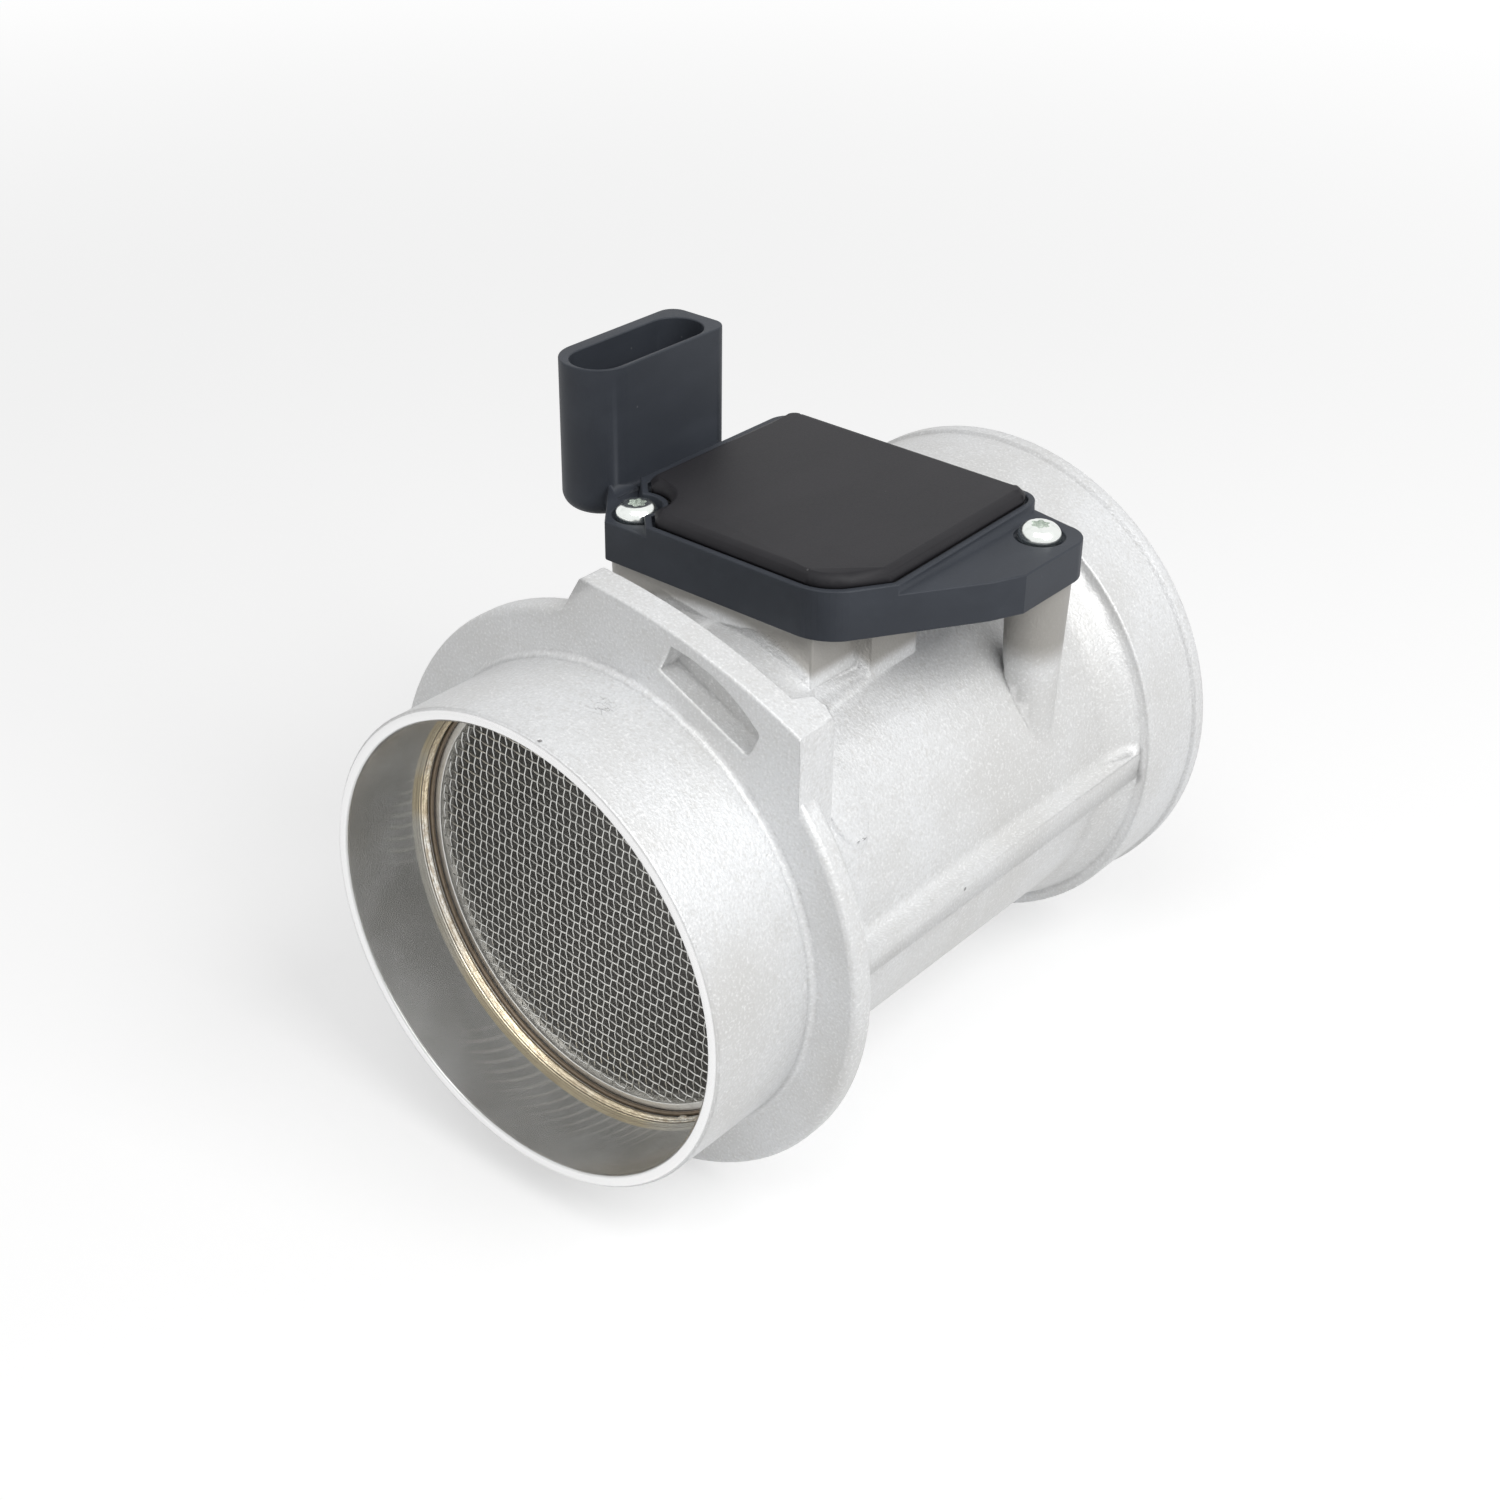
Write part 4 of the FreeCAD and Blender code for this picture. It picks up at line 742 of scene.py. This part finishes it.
def lathe(mesh: bmesh.types.BMesh, profile: Sequence[Span], steps: int,
          closed: bool = False) -> None:
    """Spin a profile of (radius, height) in millimetres about the upright axis.

    Args:
        mesh: the bmesh to add to.
        profile: the points, from the top of the outside round to the axis.
        steps: faces round the circle.
        closed: whether the profile's last point joins its first.
    """
    verts = [mesh.verts.new((r * MM, 0.0, h * MM)) for r, h in profile]
    edges = [mesh.edges.new(pair) for pair in zip(verts, verts[1:])]
    if closed:
        edges.append(mesh.edges.new((verts[-1], verts[0])))
    bmesh.ops.spin(mesh, geom=verts + edges, cent=(0, 0, 0), axis=(0, 0, 1),
                   angle=math.tau, steps=steps, use_merge=True)
    bmesh.ops.remove_doubles(mesh, verts=mesh.verts[:], dist=JOIN)


@dataclass
class Casting:
    """The aluminium casting, with its edges rounded as they leave the mould."""

    rounding: Rounding = Rounding(width_mm=0.5, room_mm=1.05, segments=3, sharp_degrees=25.0)
    smooth_degrees: float = 50.0

    def build(self) -> list[bpy.types.Object]:
        """Make the casting from its CAD node.

        Returns:
            The one piece.
        """
        piece = Piece("casting", Slot.ALUMINIUM, CASTING, ("body_casting",),
                      self.smooth_degrees)
        return [self.rounding.round_off(piece)]


@dataclass
class Screen:
    """The woven inlet screen with its folded rim and the ring that holds it."""

    upright_pitch_mm: float = 1.48
    level_pitch_mm: float = 1.83
    turn_degrees: float = 4.0
    wire_mm: float = 0.115
    upright_crimp_mm: float = 0.17
    level_crimp_mm: float = 0.08
    sides: int = 5
    steps_per_cross: int = 4
    reach_mm: float = 37.5
    fewest_pitches: int = 2
    wire_smooth_degrees: float = 60.0
    rim_inner_mm: float = 37.1
    rim_fit_mm: float = 0.02
    rim_slack_mm: float = 0.01
    rim_wall_mm: float = 0.5
    rim_fold_mm: float = 0.2
    rim_edge_mm: float = 0.1
    rim_steps: int = 160
    lip_mm: float = 0.35
    ring_share: float = 0.7
    ring_gap_degrees: float = 14.0
    ring_sides: int = 12
    ring_steps: int = 150

    def wire(self, across: float, half_length: float, pitch: float, phase: int,
             upright: bool) -> bpy.types.Mesh:
        """Weave one wire by extruding a small circle step by step.

        Args:
            across: the wire's place across its run, in millimetres.
            half_length: half its length in millimetres.
            pitch: spacing of the wires that it crosses.
            phase: 0 or 1, over or under at the first crossing.
            upright: whether it runs along Z rather than X.

        Returns:
            The wire as a mesh that is still to be joined to the others.
        """
        step = pitch / self.steps_per_cross
        count = int(half_length / step)
        crimp = self.upright_crimp_mm if upright else self.level_crimp_mm

        def point(index: int) -> Vector:
            """Find a point of the wire's line.

            Args:
                index: steps from the middle of the wire.

            Returns:
                The point, in millimetres.
            """
            run = index * step
            depth = crimp * math.cos(math.pi * (run / pitch + phase))
            return Vector((across, depth, run)) if upright else Vector((run, -depth, across))

        strand = bmesh.new()
        run_axis = Vector((0, 0, 1)) if upright else Vector((1, 0, 0))
        turn = run_axis.to_track_quat("Z", "Y").to_matrix().to_4x4()
        last = point(-count)
        bmesh.ops.create_circle(
            strand, cap_ends=True, segments=self.sides, radius=self.wire_mm * MM,
            matrix=Matrix.Translation(last * MM) @ turn)
        loop = strand.edges[:]
        for index in range(1 - count, count + 1):
            here = point(index)
            grown = bmesh.ops.extrude_edge_only(strand, edges=loop)["geom"]
            fresh = {item for item in grown if isinstance(item, bmesh.types.BMVert)}
            loop = [item for item in grown if isinstance(item, bmesh.types.BMEdge)
                    and fresh.issuperset(item.verts)]
            bmesh.ops.translate(strand, verts=list(fresh), vec=(here - last) * MM)
            last = here
        bmesh.ops.contextual_create(strand, geom=loop)
        data = bpy.data.meshes.new("strand")
        strand.to_mesh(data)
        strand.free()
        return data

    def weave(self) -> bpy.types.Object:
        """Weave the wires from rim to rim.

        Returns:
            The woven piece.
        """
        piece = Piece("screen_weave", Slot.SCREEN, SCREEN_WIRE, ("inlet_screen",),
                      self.wire_smooth_degrees)
        low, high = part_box("inlet_screen")
        middle = (low.y + high.y) / 2
        for upright, own, other in ((True, self.upright_pitch_mm, self.level_pitch_mm),
                                    (False, self.level_pitch_mm, self.upright_pitch_mm)):
            count = int(self.reach_mm / own)
            for index in range(-count, count + 1):
                across = index * own
                half = math.sqrt(self.reach_mm ** 2 - across ** 2)
                if half > self.fewest_pitches * other:
                    strand = self.wire(across, half, other, index % 2, upright)
                    piece.mesh.from_mesh(strand)
                    bpy.data.meshes.remove(strand)
        bmesh.ops.rotate(piece.mesh, verts=piece.mesh.verts[:], cent=(0, 0, 0),
                         matrix=Matrix.Rotation(math.radians(self.turn_degrees), 3, "Y"))
        bmesh.ops.translate(piece.mesh, verts=piece.mesh.verts[:], vec=(0, middle, 0))
        return piece.finished()

    def rim(self) -> bpy.types.Object:
        """Fold the channel round the screen's edge.

        Returns:
            The rim.
        """
        piece = Piece("screen_rim", Slot.SCREEN, SCREEN_RIM, ("screen_frame",))
        low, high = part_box("screen_frame")
        outer, inner = high.z / MM - self.rim_fit_mm, self.rim_inner_mm
        half = (high.y - low.y) / 2 / MM - self.rim_slack_mm
        lip, fold, edge = self.lip_mm, self.rim_fold_mm, self.rim_edge_mm
        wall = outer - self.rim_wall_mm
        lathe(piece.mesh, (
            (inner + edge, half), (outer - fold, half), (outer, half - fold),
            (outer, fold - half), (outer - fold, -half), (inner + edge, -half),
            (inner, edge - half), (inner, lip - half), (wall, lip - half),
            (wall, half - lip), (inner, half - lip), (inner, half - edge)),
            self.rim_steps, True)
        bmesh.ops.recalc_face_normals(piece.mesh, faces=piece.mesh.faces[:])
        bmesh.ops.transform(
            piece.mesh, verts=piece.mesh.verts[:],
            matrix=Matrix.Translation((0, (low.y + high.y) / 2, 0)) @ ALONG_TUBE)
        return piece.finished()

    def retaining_ring(self) -> bpy.types.Object:
        """Bend a round wire to an open ring.

        Returns:
            The ring.
        """
        piece = Piece("screen_retaining_wire", Slot.SCREEN, RING_WIRE,
                      ("screen_retaining_ring",), self.wire_smooth_degrees)
        low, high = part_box("screen_retaining_ring")
        wire = (high.y - low.y) / 2 * self.ring_share
        radius = high.z - wire
        mesh = piece.mesh
        bmesh.ops.create_circle(
            mesh, cap_ends=True, segments=self.ring_sides, radius=wire,
            matrix=Matrix.Translation((radius, high.y - wire, 0)))
        bmesh.ops.spin(mesh, geom=mesh.verts[:] + mesh.edges[:] + mesh.faces[:],
                       cent=(0, 0, 0), axis=(0, 1, 0), steps=self.ring_steps,
                       angle=math.radians(360 - self.ring_gap_degrees))
        bmesh.ops.recalc_face_normals(mesh, faces=mesh.faces[:])
        return piece.finished()

    def build(self) -> list[bpy.types.Object]:
        """Make the screen, its rim and its ring, and return the three."""
        return [self.weave(), self.rim(), self.retaining_ring()]


@dataclass
class Module:
    """The plastic electronics housing with its socket, and the lid on its tray."""

    housing_rounding: Rounding = Rounding(width_mm=0.25, room_mm=0.3, segments=2,
                                          sharp_degrees=28.0)
    lid_rounding: Rounding = Rounding(width_mm=0.7, room_mm=0.84, segments=4,
                                      sharp_degrees=28.0)

    def build(self) -> list[bpy.types.Object]:
        """Make the housing and the lid from their CAD nodes.

        Returns:
            The two pieces.
        """
        housing = Piece("housing", Slot.HOUSING, HOUSING, ("module_housing",))
        lid = Piece("lid", Slot.COVER, LID, ("module_cover",))
        return [self.housing_rounding.round_off(housing), self.lid_rounding.round_off(lid)]


@dataclass
class Screw:
    """A pan head screw with a six-lobed recess and a cut thread."""

    node: str
    head_mm: float = 3.7
    head_height_mm: float = 2.6
    dome_mm: tuple[Span, ...] = (
        (2.0, 0.0), (2.35, 0.06), (2.8, 0.3), (3.25, 0.75), (3.55, 1.25), (3.7, 1.8))
    under_edge_mm: float = 0.15
    shank_mm: float = 1.3
    point_mm: float = 0.5
    crest_mm: float = 1.62
    crest_flat_mm: float = 0.04
    sunk_mm: float = 0.05
    lead_mm: float = 0.7
    flank_share: float = 0.42
    plain_mm: float = 2.0
    thread_end_mm: float = 1.0
    thread_steps: int = 24
    lobes: int = 6
    lobe_mm: float = 1.65
    lobe_power: float = 0.8
    waist_mm: float = 1.2
    recess_mm: float = 1.5
    steps: int = 72
    tip_gap_mm: float = 0.1
    head_gap_mm: float = 0.02
    smooth_degrees: float = 38.0

    def recess(self, mesh: bmesh.types.BMesh, top: float) -> None:
        """Open the six-lobed recess in the middle of the head.

        Args:
            mesh: the bmesh that already has the head's rim ring at the given height.
            top: height of that ring in millimetres.
        """
        rim = [edge for edge in mesh.edges if edge.is_boundary
               and all(abs(vert.co.z - top * MM) < JOIN for vert in edge.verts)]
        star = bmesh.ops.create_circle(mesh, cap_ends=False, segments=self.steps,
                                       radius=MM, matrix=Matrix.Translation((0, 0, top * MM)))
        for vert in star["verts"]:
            angle = math.atan2(vert.co.y, vert.co.x)
            swing = (1 + math.cos(self.lobes * angle)) / 2
            reach = (self.waist_mm
                     + (self.lobe_mm - self.waist_mm) * swing ** self.lobe_power)
            vert.co.x, vert.co.y = (reach * MM * math.cos(angle), reach * MM * math.sin(angle))
        edges = list(dict.fromkeys(
            edge for vert in star["verts"] for edge in vert.link_edges))
        bmesh.ops.bridge_loops(mesh, edges=rim + edges)
        down = bmesh.ops.extrude_edge_only(mesh, edges=edges)["geom"]
        fresh = [item for item in down if isinstance(item, bmesh.types.BMVert)]
        bmesh.ops.translate(mesh, verts=fresh, vec=(0, 0, -self.recess_mm * MM))
        floor = [item for item in down if isinstance(item, bmesh.types.BMEdge)
                 and all(vert in fresh for vert in item.verts)]
        bmesh.ops.contextual_create(mesh, geom=floor)

    def thread(self, mesh: bmesh.types.BMesh, length: float) -> None:
        """Wind a ridge round the shank.

        Args:
            mesh: the bmesh to add to.
            length: how far the shank runs down from the head, in millimetres.
        """
        turns = int((length - self.plain_mm) / self.lead_mm)
        half = self.lead_mm * self.flank_share
        root, flat = self.shank_mm - self.sunk_mm, self.crest_flat_mm
        ridge = [mesh.verts.new((r * MM, 0, h * MM)) for r, h in (
            (root, half), (self.crest_mm, flat), (self.crest_mm, -flat), (root, -half))]
        face = mesh.faces.new(ridge)
        bottom = -length + self.thread_end_mm
        bmesh.ops.translate(mesh, verts=ridge, vec=(0, 0, bottom * MM))
        bmesh.ops.spin(mesh, geom=ridge + list(face.edges) + [face], cent=(0, 0, 0),
                       axis=(0, 0, 1), dvec=(0, 0, self.lead_mm * MM / self.thread_steps),
                       angle=math.tau * turns, steps=self.thread_steps * turns)

    def build(self) -> list[bpy.types.Object]:
        """Make the screw in its seat.

        Returns:
            The one piece.
        """
        low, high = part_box(self.node)
        middle = (low + high) / 2
        piece = Piece(self.node + "_piece", Slot.ZINC, ZINC, (self.node,),
                      self.smooth_degrees)
        mesh = piece.mesh
        length = (high.z - low.z) / MM - self.head_height_mm - self.tip_gap_mm
        top = self.head_height_mm
        lathe(mesh, (
            *((radius, top - drop) for radius, drop in self.dome_mm),
            (self.head_mm, self.under_edge_mm), (self.head_mm - self.under_edge_mm, 0.0),
            (self.shank_mm, 0.0), (self.shank_mm, self.point_mm - length),
            (self.shank_mm - self.point_mm, -length), (0.0, -length)), self.steps)
        self.recess(mesh, top)
        bmesh.ops.recalc_face_normals(mesh, faces=mesh.faces[:])
        self.thread(mesh, length)
        bmesh.ops.recalc_face_normals(mesh, faces=mesh.faces[:])
        bmesh.ops.translate(
            mesh, verts=mesh.verts[:],
            vec=(middle.x, middle.y, high.z - (top + self.head_gap_mm) * MM))
        return [piece.finished()]


@dataclass
class InnerParts:
    """The seal, the sleeves, the electronics and the measuring elements."""

    capacitors: int = 3
    terminals: int = 5
    pins: int = 4

    def finishes(self) -> dict[str, Finish]:
        """List the CAD nodes that are still shown.

        Returns:
            The finish of each node.
        """
        chosen: dict[str, Finish] = {
            "cover_adhesive": SEALANT, "module_seal": RUBBER, "heat_spreader": ROLLED,
            "circuit_board": BOARD, "control_chip": EPOXY, "driver_transistor": EPOXY,
            "resistor_network": EPOXY, "channel_cover": HOUSING, "hot_film_element": FILM,
            "cold_film_element": FILM, "air_thermistor": GLASS_BEAD,
            "compression_sleeve_front": ZINC, "compression_sleeve_rear": ZINC,
        }
        for name, count, finish in (
                ("capacitor", self.capacitors, CHIP_CERAMIC), ("terminal", self.terminals, TIN),
                ("terminal_ribbon", self.terminals, ROLLED), ("element_pin", self.pins, TIN)):
            chosen.update({f"{name}_{number}": finish for number in range(1, count + 1)})
        return chosen

    def build(self) -> list[bpy.types.Object]:
        """Give each node its finish.

        Returns:
            The nodes' objects.
        """
        dressed = []
        for name, finish in self.finishes().items():
            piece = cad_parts[name]
            piece.data.materials.clear()
            piece.data.materials.append(finish.material())
            dressed.append(piece)
        return dressed


@dataclass(frozen=True)
class Lamp:
    """A soft square lamp that looks at the object's middle."""

    name: str
    place: Point
    size: float
    power: float

    def build(self, target: Vector) -> None:
        """Hang the lamp and turn it.

        Args:
            target: the point that it looks at.
        """
        data = bpy.data.lights.new(self.name, "AREA")
        data.size = self.size
        data.energy = self.power
        lamp = bpy.data.objects.new(self.name, data)
        lamp.location = self.place
        lamp.rotation_euler = (target - lamp.location).to_track_quat("-Z", "Y").to_euler()
        bpy.context.scene.collection.objects.link(lamp)


@dataclass
class Studio:
    """Floor, light and camera; lengths without mm in their names are in metres."""

    ambient: float = 0.33
    white: Colour = (1.0, 1.0, 1.0)
    floor_colour: Colour = (0.66, 0.66, 0.66)
    floor_half: float = 6.0
    floor_cells: int = 8
    floor_gap: float = 0.0002
    floor_lift: float = 0.46
    far_lift: float = 0.33
    far_mm: Span = (250.0, 1300.0)
    cloud_mm: float = 400.0
    cloud_lift: float = 0.01
    lamps: tuple[Lamp, ...] = (
        Lamp("key", (0.68, 0.0, 0.70), 0.6, 5.5),
        Lamp("front", (0.18, -0.38, 0.92), 0.5, 1.9),
    )
    camera_mm: Point = (215.81, -202.36, 214.77)
    lens_mm: float = 54.62
    sensor_mm: float = 36.0
    clip: Span = (0.01, 20.0)
    sight: tuple[Point, Point, Point] = (
        (0.76515712, -0.33867706, 0.54756956),
        (0.64374475, 0.38752705, -0.6598602),
        (0.0112815, 0.85739176, 0.51454066))

    def floor_material(self) -> bpy.types.Material:
        """A pale matt floor that the camera sees as near white.

        Returns:
            Its material.
        """
        graph = Graph(bpy.data.materials.new("studio_floor"))
        x, y, _ = graph.axes()
        away = (x * x + y * y).root().ramp(*self.far_mm)
        cloud = graph.noise(self.cloud_mm).ramp(0.0, 1.0)
        lift = graph.seen() * (self.floor_lift + away * self.far_lift
                               + cloud * self.cloud_lift)
        matt = graph.node("ShaderNodeBsdfDiffuse", {}, {"Color": self.floor_colour})
        glow = graph.node("ShaderNodeEmission", {}, {"Strength": lift})
        both = graph.node("ShaderNodeAddShader", {}, {0: matt.outputs[0],
                                                      1: glow.outputs[0]})
        graph.node("ShaderNodeOutputMaterial", {}, {0: both.outputs[0]})
        return graph.owner

    def floor(self) -> None:
        """Lay the floor at the object's lowest point."""
        mesh = bmesh.new()
        bmesh.ops.create_grid(mesh, x_segments=self.floor_cells,
                              y_segments=self.floor_cells, size=self.floor_half)
        bmesh.ops.translate(mesh, verts=mesh.verts[:],
                            vec=(0, 0, CAD_BOX[0].z - self.floor_gap))
        data = bpy.data.meshes.new("floor")
        mesh.to_mesh(data)
        mesh.free()
        data.materials.append(self.floor_material())
        floor = bpy.data.objects.new("floor", data)
        bpy.context.scene.collection.objects.link(floor)

    def world(self) -> None:
        """Even light, and white for the camera, for mirrors and for glass."""
        world = bpy.data.worlds.new("studio")
        graph = Graph(world)
        light, white = (
            graph.node("ShaderNodeBackground", {}, {"Color": self.white, "Strength": strength})
            for strength in (self.ambient, 1.0))
        mixed = graph.node("ShaderNodeMixShader", {}, {
            0: graph.seen(), 1: light.outputs[0], 2: white.outputs[0]})
        graph.node("ShaderNodeOutputWorld", {}, {0: mixed.outputs[0]})
        bpy.context.scene.world = world

    def camera(self) -> None:
        """The camera at the photograph's place."""
        data = bpy.data.cameras.new("camera")
        data.lens = self.lens_mm
        data.sensor_width = self.sensor_mm
        data.clip_start, data.clip_end = self.clip
        camera = bpy.data.objects.new("camera", data)
        turn = Matrix(self.sight).to_4x4()
        camera.matrix_world = Matrix.Translation(Vector(self.camera_mm) * MM) @ turn
        bpy.context.scene.collection.objects.link(camera)
        bpy.context.scene.camera = camera

    def build(self) -> None:
        """Set the studio up."""
        self.floor()
        self.world()
        target = (CAD_BOX[0] + CAD_BOX[1]) / 2
        for lamp in self.lamps:
            lamp.build(target)
        self.camera()
        bpy.context.scene.view_settings.view_transform = "Standard"


def main() -> None:
    """Build every piece in order and log its face count, then set up the studio."""
    logging.basicConfig(level=logging.INFO, format="%(name)s %(message)s")
    for part in (Casting(), Screen(), Module(), Screw("housing_screw_front"),
                 Screw("housing_screw_rear"), InnerParts()):
        for piece in part.build():
            LOG.info("%s: %d faces", piece.name, len(piece.data.polygons))
    Studio().build()


if __name__ == "__main__":
    main()
